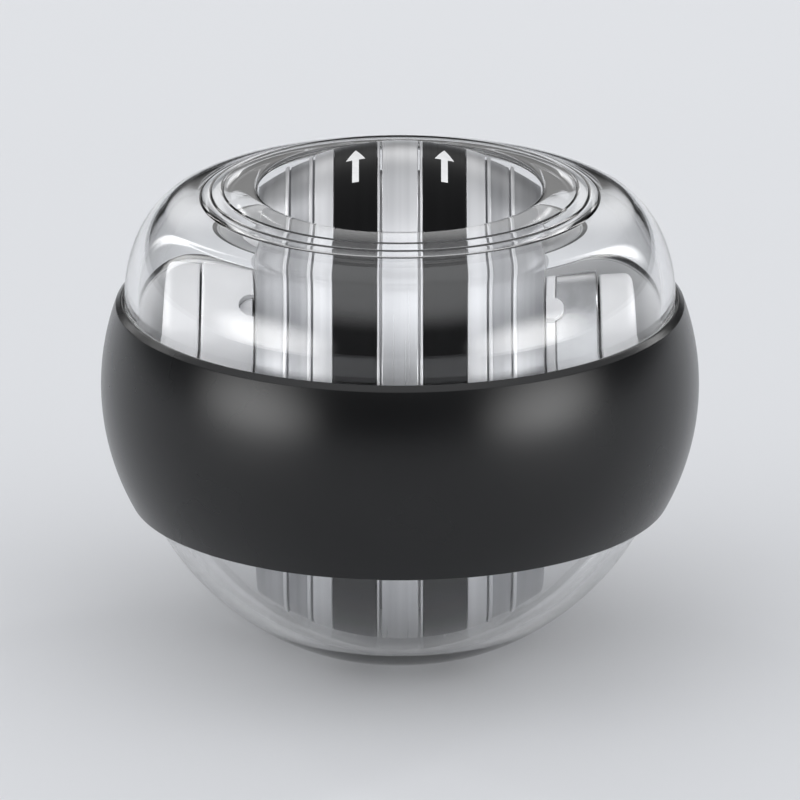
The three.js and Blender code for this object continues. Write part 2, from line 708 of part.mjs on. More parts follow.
// The balls of one bearing
function bearingBalls(side, start, place) {
  const pitch = (AXLE_RADIUS + BEARING_RADIUS) / 2;
  const ball = closed(new THREE.SphereGeometry(BALL_RADIUS, BALL_SIDES, BALL_SIDES - 2));
  ball.translate(start + BEARING_WIDTH / 2, 0, pitch);
  return aroundX(ball, BALL_COUNT).map((geometry, copy) => (
    piece(`${side}_bearing_ball_${copy + 1}`, place(geometry), brightSteel)
  ));
}

// One bearing: the outer race and balls stay with the gimbal, the inner race turns with the axle
function bearing(side, start, place) {
  const pitch = (AXLE_RADIUS + BEARING_RADIUS) / 2;
  const floorGap = BALL_RADIUS + FIT_CLEARANCE;
  const outer = bearingRace(BEARING_RADIUS - RACE_SECTION, BEARING_RADIUS, pitch + floorGap, start);
  const inner = bearingRace(
    AXLE_RADIUS + RACE_SECTION,
    AXLE_RADIUS + FIT_CLEARANCE / 2,
    pitch - floorGap,
    start,
  );
  return {
    outer: piece(`${side}_bearing_outer_race`, place(outer), brightSteel),
    inner: piece(`${side}_bearing_inner_race`, place(inner), brightSteel),
    balls: bearingBalls(side, start, place),
  };
}

// Axle: one steel rod with stepped, chamfered tips
function axle() {
  const step = EYE_START - SEAT_CLEARANCE / 2;
  const half = [
    [AXLE_RADIUS, step],
    [TIP_RADIUS, step],
    [TIP_RADIUS, TIP_REACH - TIP_CHAMFER],
    [TIP_RADIUS - TIP_CHAMFER, TIP_REACH],
    [0, TIP_REACH],
  ];
  const otherHalf = half.map(([radius, along]) => [radius, -along]).reverse();
  return piece("axle", rodAboutX([...otherHalf, ...half], SMALL_SIDES), brightSteel);
}

// Flywheel: a zinc casting with a heavy ring, a web, a hub and the rim that shows between the treads
function flywheel() {
  const half = [
    [AXLE_RADIUS + FIT_CLEARANCE, HUB_HALF_LENGTH],
    [HUB_RADIUS, HUB_HALF_LENGTH],
    [HUB_RADIUS, WEB_HALF_THICKNESS],
    [WEIGHT_BORE, WEB_HALF_THICKNESS],
    [WEIGHT_BORE, WEIGHT_HALF_WIDTH],
    [WEIGHT_RADIUS, WEIGHT_HALF_WIDTH],
    [WEIGHT_RADIUS, RIM_HALF_WIDTH],
    [sphereAt(ROTOR_RADIUS, RIM_HALF_WIDTH), RIM_HALF_WIDTH],
  ];
  const otherHalf = half.map(([radius, along]) => [radius, -along]).reverse();
  return piece("flywheel", turnedAboutX([...half, ...otherHalf], ROTOR_SIDES), castZinc);
}

// The outside of a rotor half beyond the tread: silver strip, then a lower flank with one rib round it
function flankOutline() {
  const silverEnd = TREAD_END + SILVER_WIDTH;
  const ribStart = silverEnd + FLANK_STRIP_WIDTH;
  const ribEnd = ribStart + FLANK_RIB_WIDTH;
  const raised = (along) => [sphereAt(ROTOR_RADIUS, along), along];
  const lowered = (along) => [sphereAt(ROTOR_RADIUS - FLANK_DROP, along), along];
  return [
    raised(TREAD_END),
    raised(silverEnd),
    lowered(silverEnd),
    lowered(ribStart),
    raised(ribStart),
    raised(ribEnd),
    lowered(ribEnd),
    lowered(ROTOR_HALF_WIDTH),
  ];
}

// Rotor half: a hollow moulding that closes over the flywheel, with a boss round the axle
function rotorHalf(name, endOutline, place) {
  const seat = TREAD_SEAT_RADIUS;
  const start = RIM_HALF_WIDTH + RIM_GROOVE;
  const inside = WEIGHT_RADIUS + FIT_CLEARANCE;
  const weightEnd = WEIGHT_HALF_WIDTH + SEAT_CLEARANCE;
  const plateInside = ROTOR_HALF_WIDTH - ROTOR_WALL;
  const axleHole = AXLE_RADIUS + FIT_CLEARANCE;
  const bossStart = HUB_HALF_LENGTH + SEAT_CLEARANCE;
  const lipTop = sphereAt(ROTOR_RADIUS, TREAD_START);
  const outline = [
    [inside, start],
    [lipTop, start],
    [lipTop, TREAD_START],
    [seat, TREAD_START],
    [seat, TREAD_END],
    ...flankOutline(),
    ...endOutline(axleHole),
    [axleHole, bossStart],
    [ROTOR_BOSS_RADIUS, bossStart],
    [ROTOR_BOSS_RADIUS, plateInside],
    [sphereAt(ROTOR_RADIUS - FLANK_DROP - ROTOR_WALL, plateInside), plateInside],
    [sphereAt(ROTOR_RADIUS - FLANK_DROP - ROTOR_WALL, weightEnd), weightEnd],
    [inside, weightEnd],
  ];
  return piece(name, place(turnedAboutX(outline, ROTOR_SIDES)), silverPlastic);
}

// Left end: plain boss. Right end: the cup in which the clutch rollers grip.
function leftRotorHalf() {
  return rotorHalf("left_rotor_half", (axleHole) => [[axleHole, ROTOR_HALF_WIDTH]], mirrored);
}

function rightRotorHalf() {
  const cup = (axleHole) => [
    [CLUTCH_CUP_RADIUS, ROTOR_HALF_WIDTH],
    [CLUTCH_CUP_RADIUS, ROTOR_HALF_WIDTH - CLUTCH_CUP_DEPTH],
    [axleHole, ROTOR_HALF_WIDTH - CLUTCH_CUP_DEPTH],
  ];
  return rotorHalf("right_rotor_half", cup, (geometry) => geometry);
}

// Tread: a black ring, flush with the rotor's sphere, in the seat of its half
function tread(name, place) {
  const inner = TREAD_SEAT_RADIUS + FIT_CLEARANCE;
  const start = TREAD_START + FIT_CLEARANCE / 2;
  const end = TREAD_END - FIT_CLEARANCE / 2;
  const middle = (start + end) / 2;
  const ring = turnedAboutX([
    [inner, start],
    [sphereAt(ROTOR_RADIUS, start), start],
    [sphereAt(ROTOR_RADIUS, middle), middle],
    [sphereAt(ROTOR_RADIUS, end), end],
    [inner, end],
  ], ROTOR_SIDES);
  return piece(name, place(ring), blackPlastic);
}

// Starter arbor: a sleeve round the axle with a cam wheel inside the rotor's cup
function starterArbor() {
  const camEnd = ROTOR_HALF_WIDTH - SEAT_CLEARANCE;
  const camStart = camEnd - CAM_THICKNESS;
  const bore = AXLE_RADIUS + ARBOR_AXLE_CLEARANCE;
  const sleeveEnd = SPRING_START + SPRING_WIDTH + SEAT_CLEARANCE;
  const wheel = turnedAboutX([
    [bore, camStart],
    [CAM_RADIUS, camStart],
    [CAM_RADIUS, camEnd],
    [ARBOR_RADIUS, camEnd],
    [ARBOR_RADIUS, sleeveEnd],
    [bore, sleeveEnd],
  ], DRUM_SIDES);
  const pocketRadius = ROLLER_RADIUS + ROLLER_CLEARANCE;
  const mouth = OVERRUN * 2;
  const ramp = new THREE.Shape();
  ramp.moveTo(0, -pocketRadius);
  ramp.lineTo(mouth, -pocketRadius);
  ramp.lineTo(mouth, pocketRadius * 2);
  ramp.lineTo(0, pocketRadius);
  ramp.absarc(0, 0, pocketRadius, Math.PI / 2, (Math.PI * 3) / 2, false);
  const pocket = platesAlongX(ramp, camStart - OVERRUN, camEnd + OVERRUN)
    .translate(0, rollerPitch(), 0);
  return piece("starter_arbor", cut(wheel, aroundX(pocket, ROLLER_COUNT)), brightSteel);
}

// Distance of a clutch roller from the axle, just clear of the cup
function rollerPitch() {
  return CLUTCH_CUP_RADIUS - ROLLER_RADIUS - ROLLER_CLEARANCE;
}

// Clutch rollers: they wedge between the cam and the cup when the spring drives
function clutchRollers() {
  const camEnd = ROTOR_HALF_WIDTH - SEAT_CLEARANCE;
  const roller = barAlongX(ROLLER_RADIUS, camEnd - CAM_THICKNESS, camEnd).translate(0, rollerPitch(), 0);
  return aroundX(roller, ROLLER_COUNT).map((geometry, copy) => (
    piece(`clutch_roller_${copy + 1}`, geometry, brightSteel)
  ));
}

// Mainspring: a flat spiral from the arbor out to the barrel's lip
function mainspring() {
  const first = ARBOR_RADIUS + SEAT_CLEARANCE;
  const last = BARREL_RADIUS - BARREL_WALL - SEAT_CLEARANCE - SPRING_THICKNESS;
  const count = Math.round(SPRING_TURNS * SPRING_STEPS_PER_TURN);
  const run = Array.from({ length: count + 1 }, (_, step) => ({
    angle: (step / SPRING_STEPS_PER_TURN) * Math.PI * 2,
    radius: first + ((last - first) * step) / count,
  }));
  const place = ({ angle, radius }) => new THREE.Vector2(radius * Math.cos(angle), radius * Math.sin(angle));
  const outside = run.map(({ angle, radius }) => place({ angle, radius: radius + SPRING_THICKNESS }));
  const strip = new THREE.Shape([...run.map(place), ...outside.reverse()]);
  const geometry = platesAlongX(strip, SPRING_START, SPRING_START + SPRING_WIDTH);
  return piece("mainspring", geometry, springSteel);
}

// The scene graph follows what carries what: housing, gimbal in it, rotor and starter in the gimbal
const asIs = (geometry) => geometry;
const leftBearing = bearing("left", DRUM_END - BEARING_WIDTH, mirrored);
const rightBearing = bearing("right", COVER_START + FIT_CLEARANCE, asIs);

const starter = new THREE.Group();
starter.add(starterArbor(), ...clutchRollers());

const rotor = new THREE.Group();
rotor.add(axle(), flywheel(), leftRotorHalf(), rightRotorHalf());
rotor.add(tread("left_tread", mirrored), tread("right_tread", asIs));
rotor.add(leftBearing.inner, rightBearing.inner);

const gimbal = new THREE.Group();
gimbal.add(gimbalRing(), bearingHousing(), housingLid(), leftCover());
gimbal.add(springBarrel(), barrelLid(), mainspring(), rightCover());
gimbal.add(...coverScrews("left", DRUM_END - SCREW_BITE, mirrored));
gimbal.add(...coverScrews("right", DRUM_END - BARREL_WALL, asIs));
gimbal.add(leftBearing.outer, ...leftBearing.balls, rightBearing.outer, ...rightBearing.balls);
gimbal.add(rotor, starter);

const ball = new THREE.Group();
ball.add(lowerShell(), upperShell(), gripBand(), gimbal);
ball.position.z = CENTRE_HEIGHT;

export default ball;
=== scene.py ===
# Gyroscopic wrist ball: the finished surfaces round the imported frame.
# Outlines are in millimetres from the rotor's centre, and meshes are in metres in the frame's own axes.
import math
from math import radians

import bmesh
import bpy
from mathutils import Matrix, Vector


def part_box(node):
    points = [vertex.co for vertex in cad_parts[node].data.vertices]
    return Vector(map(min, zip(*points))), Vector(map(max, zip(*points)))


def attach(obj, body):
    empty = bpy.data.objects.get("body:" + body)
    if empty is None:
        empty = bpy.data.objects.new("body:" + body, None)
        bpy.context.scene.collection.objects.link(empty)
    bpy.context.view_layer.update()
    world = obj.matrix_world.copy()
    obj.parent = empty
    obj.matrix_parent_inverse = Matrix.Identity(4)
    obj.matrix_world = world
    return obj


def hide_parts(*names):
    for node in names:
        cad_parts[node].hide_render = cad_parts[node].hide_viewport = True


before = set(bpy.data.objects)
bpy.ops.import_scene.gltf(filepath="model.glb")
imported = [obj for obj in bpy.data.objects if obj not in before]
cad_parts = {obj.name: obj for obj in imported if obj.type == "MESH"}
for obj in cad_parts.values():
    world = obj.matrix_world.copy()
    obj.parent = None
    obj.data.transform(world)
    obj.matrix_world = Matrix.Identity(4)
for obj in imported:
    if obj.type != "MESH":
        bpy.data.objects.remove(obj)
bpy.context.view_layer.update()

MM = 0.001
TOUCH = 1e-6

# Facets
SHELL_SIDES = 384
ROTOR_SIDES = 240
DRUM_SIDES = 144
SMALL_SIDES = 48
CURVE_STEPS = 56
BOWL_STEPS = 84
CORNER_STEPS = 4
LIP_STEPS = 8
HOOK_STEPS = 8
SNAP_STEPS = 24
ARROW_ROWS = 24
FLOOR_CELLS = 8
STRIP_STEP = 0.6
SUPPORT_SHARE = 1.25
SHARP_ANGLE = radians(32)


def middle(node):
    low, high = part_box(node)
    return (low + high) / 2


CENTRE = middle("flywheel")


def reach(node, corner):
    """A corner of a node's box in millimetres from the rotor's centre: 0 is the lowest, 1 the highest."""
    return (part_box(node)[corner] - CENTRE) / MM


# Sizes read from the frame
ROTOR_HALF_WIDTH = reach("right_rotor_half", 1).x
RIM_GAP_END = reach("right_rotor_half", 0).x
TREAD_START = reach("right_tread", 0).x
TREAD_END = reach("right_tread", 1).x
WEIGHT_HALF_WIDTH = reach("flywheel", 1).x
BAND_RADIUS = reach("grip_band", 1).x
BAND_TOP = reach("grip_band", 1).z
BAND_BOTTOM = reach("grip_band", 0).z
FOOT_HEIGHT = reach("lower_shell", 0).z
FLANGE_RADIUS = reach("upper_shell", 1).x
LIP_TOP = reach("upper_shell", 1).z
DRUM_START = -reach("bearing_housing", 1).x
DRUM_END = -reach("bearing_housing", 0).x
DRUM_RADIUS = reach("bearing_housing", 1).y
BARREL_START = reach("spring_barrel", 0).x
BARREL_END = reach("spring_barrel", 1).x
BARREL_RADIUS = reach("spring_barrel", 1).y
COVER_START = reach("right_cover", 0).x
COVER_END = reach("right_cover", 1).x
LEFT_COVER_RADIUS = reach("left_cover", 1).y
RIGHT_COVER_RADIUS = reach("right_cover", 1).y
RING_RADIUS = reach("gimbal_ring", 1).y
TIP_REACH = reach("axle", 1).x

# Clearances and edges that several pieces share
FIT_CLEARANCE = 0.12
MOULDED_EDGE = 0.12
CUT_OVERRUN = 1.0

# Rotor
ROTOR_RADIUS = 30.0
RIM_HALF_WIDTH = 2.15
RIM_EDGE = 0.12
TREAD_RADIUS = 29.96
TREAD_SEAT = 27.9
TREAD_EDGE = 0.1
TREAD_LIP_END = 2.7
SILVER_END = 10.22
FIRST_RIB = (10.45, 10.9)
SECOND_RIB = (13.3, 13.74)
RIB_GROOVE_WIDTH = 0.22
RIB_GROOVE_DEPTH = 0.5
FLANK_DROP = 0.3
FLANK_EDGE = 0.1
FLANK_FOOT_ROUND = 0.04
END_EDGE = 0.35
ROTOR_WALL = 2.0
WEIGHT_RADIUS = 26.4
WEIGHT_BORE = 19.6
WEIGHT_EDGE = 0.6
WEIGHT_GAP = 0.2
WEB_HALF = 1.5
HUB_RADIUS = 6.0
HUB_HALF_LENGTH = 6.0
ROTOR_BOSS_RADIUS = 8.7
CLUTCH_CUP_RADIUS = 7.0
CLUTCH_CUP_DEPTH = 3.6
AXLE_RADIUS = 1.5
AXLE_EDGE = 0.15
TIP_RADIUS = 1.0
TIP_EDGE = 0.3
TIP_EYE_GAP = 0.15

# Arrows printed on the treads
ARROW_LENGTH = 10.0
ARROW_HEAD_LENGTH = 3.9
ARROW_HEAD_WIDTH = 2.3
ARROW_STEM_WIDTH = 0.8
ARROW_TIP_ANGLE = 94.5
ARROW_RISE = 0.03
ARROW_SINK = 0.05
ARROW_COPIES = 2

# Clear shells
CAVITY_RADIUS = 31.95
LOWER_RADIUS = 33.4
RACE_RADIUS = 34.0
RACE_HALF_HEIGHT = 1.25
FOOT_WALL = 1.3
FOOT_RADIUS = 7.5
FOOT_BLEND_ANGLE = 31.0
CAVITY_BLEND_ANGLE = 34.0
FLANGE_HEIGHT = 4.0
FLANGE_CHAMFER = 0.8
LAP_WIDTH = 0.5
LAP_HEIGHT = 0.9
LAP_FIT = 0.12
UPPER_WALL_RADIUS = 33.15
UPPER_WALL = 1.6
SHOULDER_EDGE = 25.1
SHOULDER_BLEND_ANGLE = 62.0
LIP_FOOT_SLOPE = 8.0
SHOULDER_TOP = 24.0
BORE_RADIUS = 17.1
SWEEP_RADIUS = 30.5
CREST_RADIUS = 18.2
RING_EDGES = (21.15, 22.62, 23.85)
RING_HEIGHTS = (25.38, 24.9, 24.38)
RING_CROWN = 0.03
RING_GROOVE_WIDTH = 0.24
RING_GROOVE_DEPTH = 0.16
LIP_UNDERCUT = 4.0
INSIDE_BLEND_ANGLE = 67.0
INSIDE_PULL = 2.2

# Grip band
BAND_TOP_FALL = 0.9
BAND_EDGE = 0.3
BAND_BELLY_RADIUS = 29.5
BAND_BELLY_HEIGHT = 0.8
BAND_FIT = 0.15
BAND_TOP_ROUND = 0.3
BAND_BOTTOM_ROUND = 0.25
BAND_INNER_ROUND = 0.2

# Gimbal ring, drums, covers and barrel
RING_THICKNESS = 0.95
RING_HALF_HEIGHT = 1.1
EYE_RADIUS = 2.3
EYE_BORE = 1.2
EYE_START = 28.36
DRUM_WALL = 1.2
DRUM_ROUND = 0.45
DRUM_WEB_END = 21.6
DRUM_WEB = 1.0
DRUM_HUB_RADIUS = 4.9
DRUM_HUB_BORE = 2.9
BEARING_POCKET = 3.62
POCKET_DEPTH = 3.12
POCKET_FLOOR = 0.7
POCKET_END_FIT = 0.18
COVER_WALL = 1.2
COVER_ROUND = 1.0
COVER_FOOT_ROUND = 0.25
COVER_BORE = 1.9
KEY_CLEARANCE = 0.3
LID_START_INSET = 0.2
LID_THICKNESS = 0.8
TRIM_LENGTH = 2.0
SNAP_WIDTH = 3.5
SNAP_LENGTH = 2.1
SNAP_THICKNESS = 0.6
SNAP_FIT = 0.3
SNAP_ROOT = 1.0
WINDOW_WIDTH = 3.6
WINDOW_LENGTH = 1.8
WINDOW_FIT = 0.12
WINDOW_DEPTH = 0.8
SNAP_ANGLE = 58.0
SNAP_COPIES = 3
BARREL_WALL = 0.6
BARREL_ROUND = 0.35
BARREL_BORE = 4.1
BARREL_EDGE = 0.1
LID_LIP_HEIGHT = 0.8
LID_LIP_WIDTH = 0.6
ARBOR_CLEAR = 4.0

# Screws
SCREW_CIRCLE = 9.6
SCREW_RADIUS = 0.6
SCREW_HEAD_RADIUS = 1.2
SCREW_HEAD_HEIGHT = 0.58
SCREW_HEAD_SINK = 0.3
SCREW_SINK_DEPTH = 0.7
SCREW_SLOT = 0.35
SLOT_HALF_LENGTH = 2.0
SCREW_EDGE = 0.15
SCREW_COPIES = 3

# Camera and stage, distances in metres
PHOTO_SIDE = 800
PHOTO_SCALE = 8.306
PHOTO_CENTRE = (400.0, 389.25)
CAMERA_ELEVATION = 18.3
CAMERA_DISTANCE = 2.5
SENSOR = 36.0
CLIP_START = 0.1
CLIP_END = 50
FLOOR_SIDE = 12.0
LAMP_DISTANCE = 0.9
LAMP_SOFTNESS = 0.9
DOME_COLOUR = (0.97, 0.98, 1.0, 1)

# Finishes: noise in waves a metre, its depth in metres
NOISE_LOW = 0.3
NOISE_HIGH = 0.7
CLEAR_IOR = 1.5
CLEAR_ROUGHNESS = 0.004
HAZE_WAVES = 90
SILICONE_CLOUD_WAVES = 60
SILICONE_GRAIN_WAVES = 5200
SILICONE_GRAIN_STRENGTH = 0.15
MOULDED_CLOUD_WAVES = 150
MOULDED_GRAIN_WAVES = 3800
MOULDED_GRAIN_STRENGTH = 0.12
GRAIN_DEPTH = 0.00003
WIDE_LINE_WAVES = 650
WIDE_LINE_RUN = 6
FINE_LINE_WAVES = 5200
FINE_LINE_RUN = 30
LINE_STRENGTH = 0.05
LINE_DEPTH = 0.00001
INK_WAVES = 900
FLOOR_WAVES = 3
BELT_EDGE = 0.3
BELT_INSET = 0.7
BELT_ROUGHNESS = 0.5
BELT_CLEARNESS = 0.3
# Heights and widths of the painted shade in the lip's grooves
LIP_PAINTED_SHADE_START = 23.6
LIP_PAINTED_SHADE_TOP = 23.8
GROOVE_REACH = 0.14
GROOVE_FADE = 0.02


def sphere_at(radius, along):
    return math.sqrt(radius**2 - along**2)


def arc(centre, half_axes, start, end, steps=CURVE_STEPS):
    """Points on an arc of an ellipse, angles in degrees, both ends included."""
    points = []
    for step in range(steps + 1):
        angle = radians(start + (end - start) * step / steps)
        across = centre[0] + half_axes[0] * math.cos(angle)
        points.append((across, centre[1] + half_axes[1] * math.sin(angle)))
    return points


def on_sphere(radius, start, end, steps):
    """Points (radius from the axis, place along it) on a sphere between two places."""
    first = math.asin(start / radius)
    last = math.asin(end / radius)
    angles = [first + (last - first) * step / steps for step in range(steps + 1)]
    return [(radius * math.cos(angle), radius * math.sin(angle)) for angle in angles]


def bezier(start, first, last, end, steps=CURVE_STEPS):
    """Points on a smooth curve, both ends included."""
    points = []
    for step in range(steps + 1):
        share = step / steps
        rest = 1 - share
        here = start * rest**3 + first * 3 * rest**2 * share + last * 3 * rest * share**2 + end * share**3
        points.append(tuple(here))
    return points


def rounded(outline):
    """Rounds the corners (across, along, round) of a closed outline, with a flat stretch beside each."""
    points = []
    for index, corner in enumerate(outline):
        here = Vector(corner[:2])
        if len(corner) < 3:
            points.append(tuple(here))
            continue
        before = (Vector(outline[index - 1][:2]) - here).normalized()
        after = (Vector(outline[(index + 1) % len(outline)][:2]) - here).normalized()
        half = before.angle(after) / 2
        middle_way = (before + after).normalized()
        centre = here + middle_way * corner[2] / math.sin(half)
        tangent = corner[2] / math.tan(half)
        first = (here + before * tangent - centre).normalized()
        last = (here + after * tangent - centre).normalized()
        points.append(tuple(here + before * tangent * SUPPORT_SHARE))
        for step in range(CORNER_STEPS + 1):
            points.append(tuple(centre + first.slerp(last, step / CORNER_STEPS) * corner[2]))
        points.append(tuple(here + after * tangent * SUPPORT_SHARE))
    return points


def placed(axis, angle, across, along):
    """A point of a turned body in the frame's axes."""
    first = across * math.cos(angle)
    second = across * math.sin(angle)
    place = (along, first, second) if axis == "X" else (first, second, along)
    return CENTRE + Vector(place) * MM


def linked(name, data):
    """A new object in the scene."""
    made = bpy.data.objects.new(name, data)
    bpy.context.scene.collection.objects.link(made)
    return made


def finished(name, mesh):
    """An object made from a bmesh, smooth but for its sharp edges."""
    bmesh.ops.remove_doubles(mesh, verts=mesh.verts, dist=TOUCH * MM)
    bmesh.ops.recalc_face_normals(mesh, faces=mesh.faces)
    data = bpy.data.meshes.new(name)
    mesh.to_mesh(data)
    mesh.free()
    data.shade_smooth()
    data.set_sharp_from_angle(angle=SHARP_ANGLE)
    return linked(name, data)


def turned(name, outline, axis, sides):
    """A turned body about an axis through the rotor's centre, from a closed outline."""
    mesh = bmesh.new()
    rings = []
    for across, along in outline:
        count = 1 if across < TOUCH else sides
        places = [placed(axis, math.tau * side / sides, across, along) for side in range(count)]
        rings.append([mesh.verts.new(place) for place in places])
    for ring, following in zip(rings, rings[1:] + rings[:1]):
        for side in range(sides):
            corners = [ring[side % len(ring)], ring[(side + 1) % len(ring)]]
            corners += [following[(side + 1) % len(following)], following[side % len(following)]]
            unique = list(dict.fromkeys(corners))
            if len(unique) > 2:
                mesh.faces.new(unique)
    return finished(name, mesh)


def walled(mesh, first, second):
    """Faces between two borders with the same number of points."""
    for index, corner in enumerate(first):
        after = (index + 1) % len(first)
        mesh.faces.new([corner, first[after], second[after], second[index]])


def extruded(name, shape, low, high, turn):
    """A prism over a closed shape (x, y) between two heights, turned about the rotor's centre."""
    mesh = bmesh.new()
    levels = []
    for height in (low, high):
        points = [turn @ Vector((x, y, height)) for x, y in shape]
        levels.append([mesh.verts.new(CENTRE + point * MM) for point in points])
    mesh.faces.new(levels[0])
    mesh.faces.new(levels[1])
    walled(mesh, *levels)
    return finished(name, mesh)


def combined(base, tools, operation):
    """Joins or cuts a body with other bodies, which are used up."""
    for tool in tools:
        step = base.modifiers.new("combine", "BOOLEAN")
        step.operation = operation
        step.solver = "EXACT"
        step.object = tool
    graph = bpy.context.evaluated_depsgraph_get()
    data = bpy.data.meshes.new_from_object(base.evaluated_get(graph))
    base.modifiers.clear()
    base.data = data
    data.shade_smooth()
    data.set_sharp_from_angle(angle=SHARP_ANGLE)
    for tool in tools:
        bpy.data.objects.remove(tool)


def mirrored(outline, side):
    return [(across, along * side) for across, along in outline]


def other_half(outline):
    """The same outline beyond the rotor's centre, in reverse order."""
    return [(point[0], -point[1], *point[2:]) for point in reversed(outline)]


def turns(start, copies):
    """Evenly spaced turns about the axle."""
    return [Matrix.Rotation(radians(start + 360 * copy / copies), 3, "X") for copy in range(copies)]


SNAP_TURNS = turns(90 - SNAP_ANGLE, SNAP_COPIES)
SCREW_TURNS = turns(0, SCREW_COPIES)


def dress(made, body, node, material):
    """A piece that stands for a node takes its place, body, slot and material."""
    made.data.materials.clear()
    made.data.materials.append(material)
    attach(made, body)
    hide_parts(node)


# Materials


def range_step(tree, start, end, low, high):
    """A node that leads a value from the range of start and end to that of low and high."""
    step = tree.nodes.new("ShaderNodeMapRange")
    for name, value in (("From Min", start), ("From Max", end), ("To Min", low), ("To Max", high)):
        step.inputs[name].default_value = value
    return step


class Nodes:
    """The nodes of one material, added and wired by short calls."""

    def __init__(self, name):
        self.material = bpy.data.materials.new(name)
        self.material.use_nodes = True
        self.tree = self.material.node_tree
        self.tree.nodes.clear()
        self.output = self.tree.nodes.new("ShaderNodeOutputMaterial")
        self.shader = self.tree.nodes.new("ShaderNodeBsdfPrincipled")
        self.wire(self.shader.outputs["BSDF"], self.output.inputs["Surface"])
        self.place = self.tree.nodes.new("ShaderNodeTexCoord").outputs["Object"]

    def wire(self, source, target):
        self.tree.links.new(source, target)

    def set(self, **values):
        for name, value in values.items():
            self.shader.inputs[name.replace("_", " ")].default_value = value

    def scaled(self, scale):
        """The place on the surface, stretched by a scale along each axis."""
        mapping = self.tree.nodes.new("ShaderNodeMapping")
        mapping.inputs["Scale"].default_value = scale
        self.wire(self.place, mapping.inputs["Vector"])
        return mapping.outputs["Vector"]

    def noise(self, waves, run=None, detail=3.0):
        """Noise in waves a metre over the surface, with a number of its own for the run round the axle."""
        noise = self.tree.nodes.new("ShaderNodeTexNoise")
        noise.inputs["Scale"].default_value = 1
        noise.inputs["Detail"].default_value = detail
        across = run or waves
        self.wire(self.scaled((waves, across, across)), noise.inputs["Vector"])
        return noise.outputs["Fac"]

    def ranged(self, source, low, high, start=NOISE_LOW, end=NOISE_HIGH):
        """A value led into the range of low and high."""
        step = range_step(self.tree, start, end, low, high)
        self.wire(source, step.inputs["Value"])
        return step.outputs["Result"]

    def shaded(self, source, dark, light):
        """A colour between a dark and a light one, led by a noise."""
        ramp = self.tree.nodes.new("ShaderNodeValToRGB")
        stops = ((NOISE_LOW, dark), (NOISE_HIGH, light))
        for element, (position, colour) in zip(ramp.color_ramp.elements, stops):
            element.position = position
            element.color = (*colour, 1)
        self.wire(source, ramp.inputs["Fac"])
        return ramp.outputs["Color"]

    def math(self, operation, first, second=None):
        """A sum on one or two values, the second a socket or a number."""
        step = self.tree.nodes.new("ShaderNodeMath")
        step.operation = operation
        self.wire(first, step.inputs[0])
        if isinstance(second, bpy.types.NodeSocket):
            self.wire(second, step.inputs[1])
        elif second is not None:
            step.inputs[1].default_value = second
        return step.outputs["Value"]

    def height(self):
        """The height in the frame."""
        apart = self.tree.nodes.new("ShaderNodeSeparateXYZ")
        self.wire(self.place, apart.inputs["Vector"])
        return apart.outputs["Z"]

    def from_axis(self):
        """The distance from the ball's upright axis."""
        away = self.tree.nodes.new("ShaderNodeVectorMath")
        away.operation = "LENGTH"
        self.wire(self.scaled((1, 1, 0)), away.inputs[0])
        return away.outputs["Value"]

    def outside(self, value, centre, half_width, edge):
        """0 within a half width of a centre, 1 beyond it, with a narrow edge."""
        offset = self.math("ABSOLUTE", self.math("SUBTRACT", value, centre))
        return self.ranged(offset, 0, 1, half_width - edge, half_width)

    def outermost(self):
        """1 on the rotor's outermost sphere, 0 on what lies lower."""
        away = self.tree.nodes.new("ShaderNodeVectorMath")
        away.operation = "DISTANCE"
        self.wire(self.place, away.inputs[0])
        away.inputs[1].default_value = CENTRE
        lowered = ROTOR_RADIUS - FLANK_DROP / 2
        start, end = lowered * MM, (lowered + FLANK_EDGE / 2) * MM
        return self.ranged(away.outputs["Value"], 0, 1, start, end)

    def mixed(self, share, first, second):
        """Two colours mixed by a share."""
        mix = self.tree.nodes.new("ShaderNodeMix")
        mix.data_type = "RGBA"
        sockets = {socket.identifier: socket for socket in mix.inputs}
        self.wire(share, sockets["Factor_Float"])
        self.wire(first, sockets["A_Color"])
        self.wire(second, sockets["B_Color"])
        return next(socket for socket in mix.outputs if socket.identifier == "Result_Color")

    def bump(self, source, strength, distance):
        """Relief on the surface, its depth in metres."""
        bump = self.tree.nodes.new("ShaderNodeBump")
        bump.inputs["Strength"].default_value = strength
        bump.inputs["Distance"].default_value = distance
        self.wire(source, bump.inputs["Height"])
        self.wire(bump.outputs["Normal"], self.shader.inputs["Normal"])

    def colour(self, source):
        self.wire(source, self.shader.inputs["Base Color"])

    def roughness(self, source):
        self.wire(source, self.shader.inputs["Roughness"])

    def clouded(self, source, dark, light, roughness):
        """Colour and roughness that vary together with a noise."""
        self.colour(self.shaded(source, dark, light))
        self.roughness(self.ranged(source, *roughness))


def painted_groove_shade(nodes):
    """Where shade is painted: 1 in the grooves between the lip's rings, 0 elsewhere."""
    away = nodes.from_axis()
    start, end = CENTRE.z + LIP_PAINTED_SHADE_START * MM, CENTRE.z + LIP_PAINTED_SHADE_TOP * MM
    shade = nodes.ranged(nodes.height(), 0, 1, start, end)
    plain = None
    for edge in RING_EDGES:
        ring = nodes.outside(away, (edge + RING_GROOVE_WIDTH / 2) * MM, GROOVE_REACH * MM, GROOVE_FADE * MM)
        plain = nodes.math("MULTIPLY", plain, ring) if plain else ring
    return nodes.math("MULTIPLY", shade, nodes.ranged(plain, 1, 0, 0, 1))


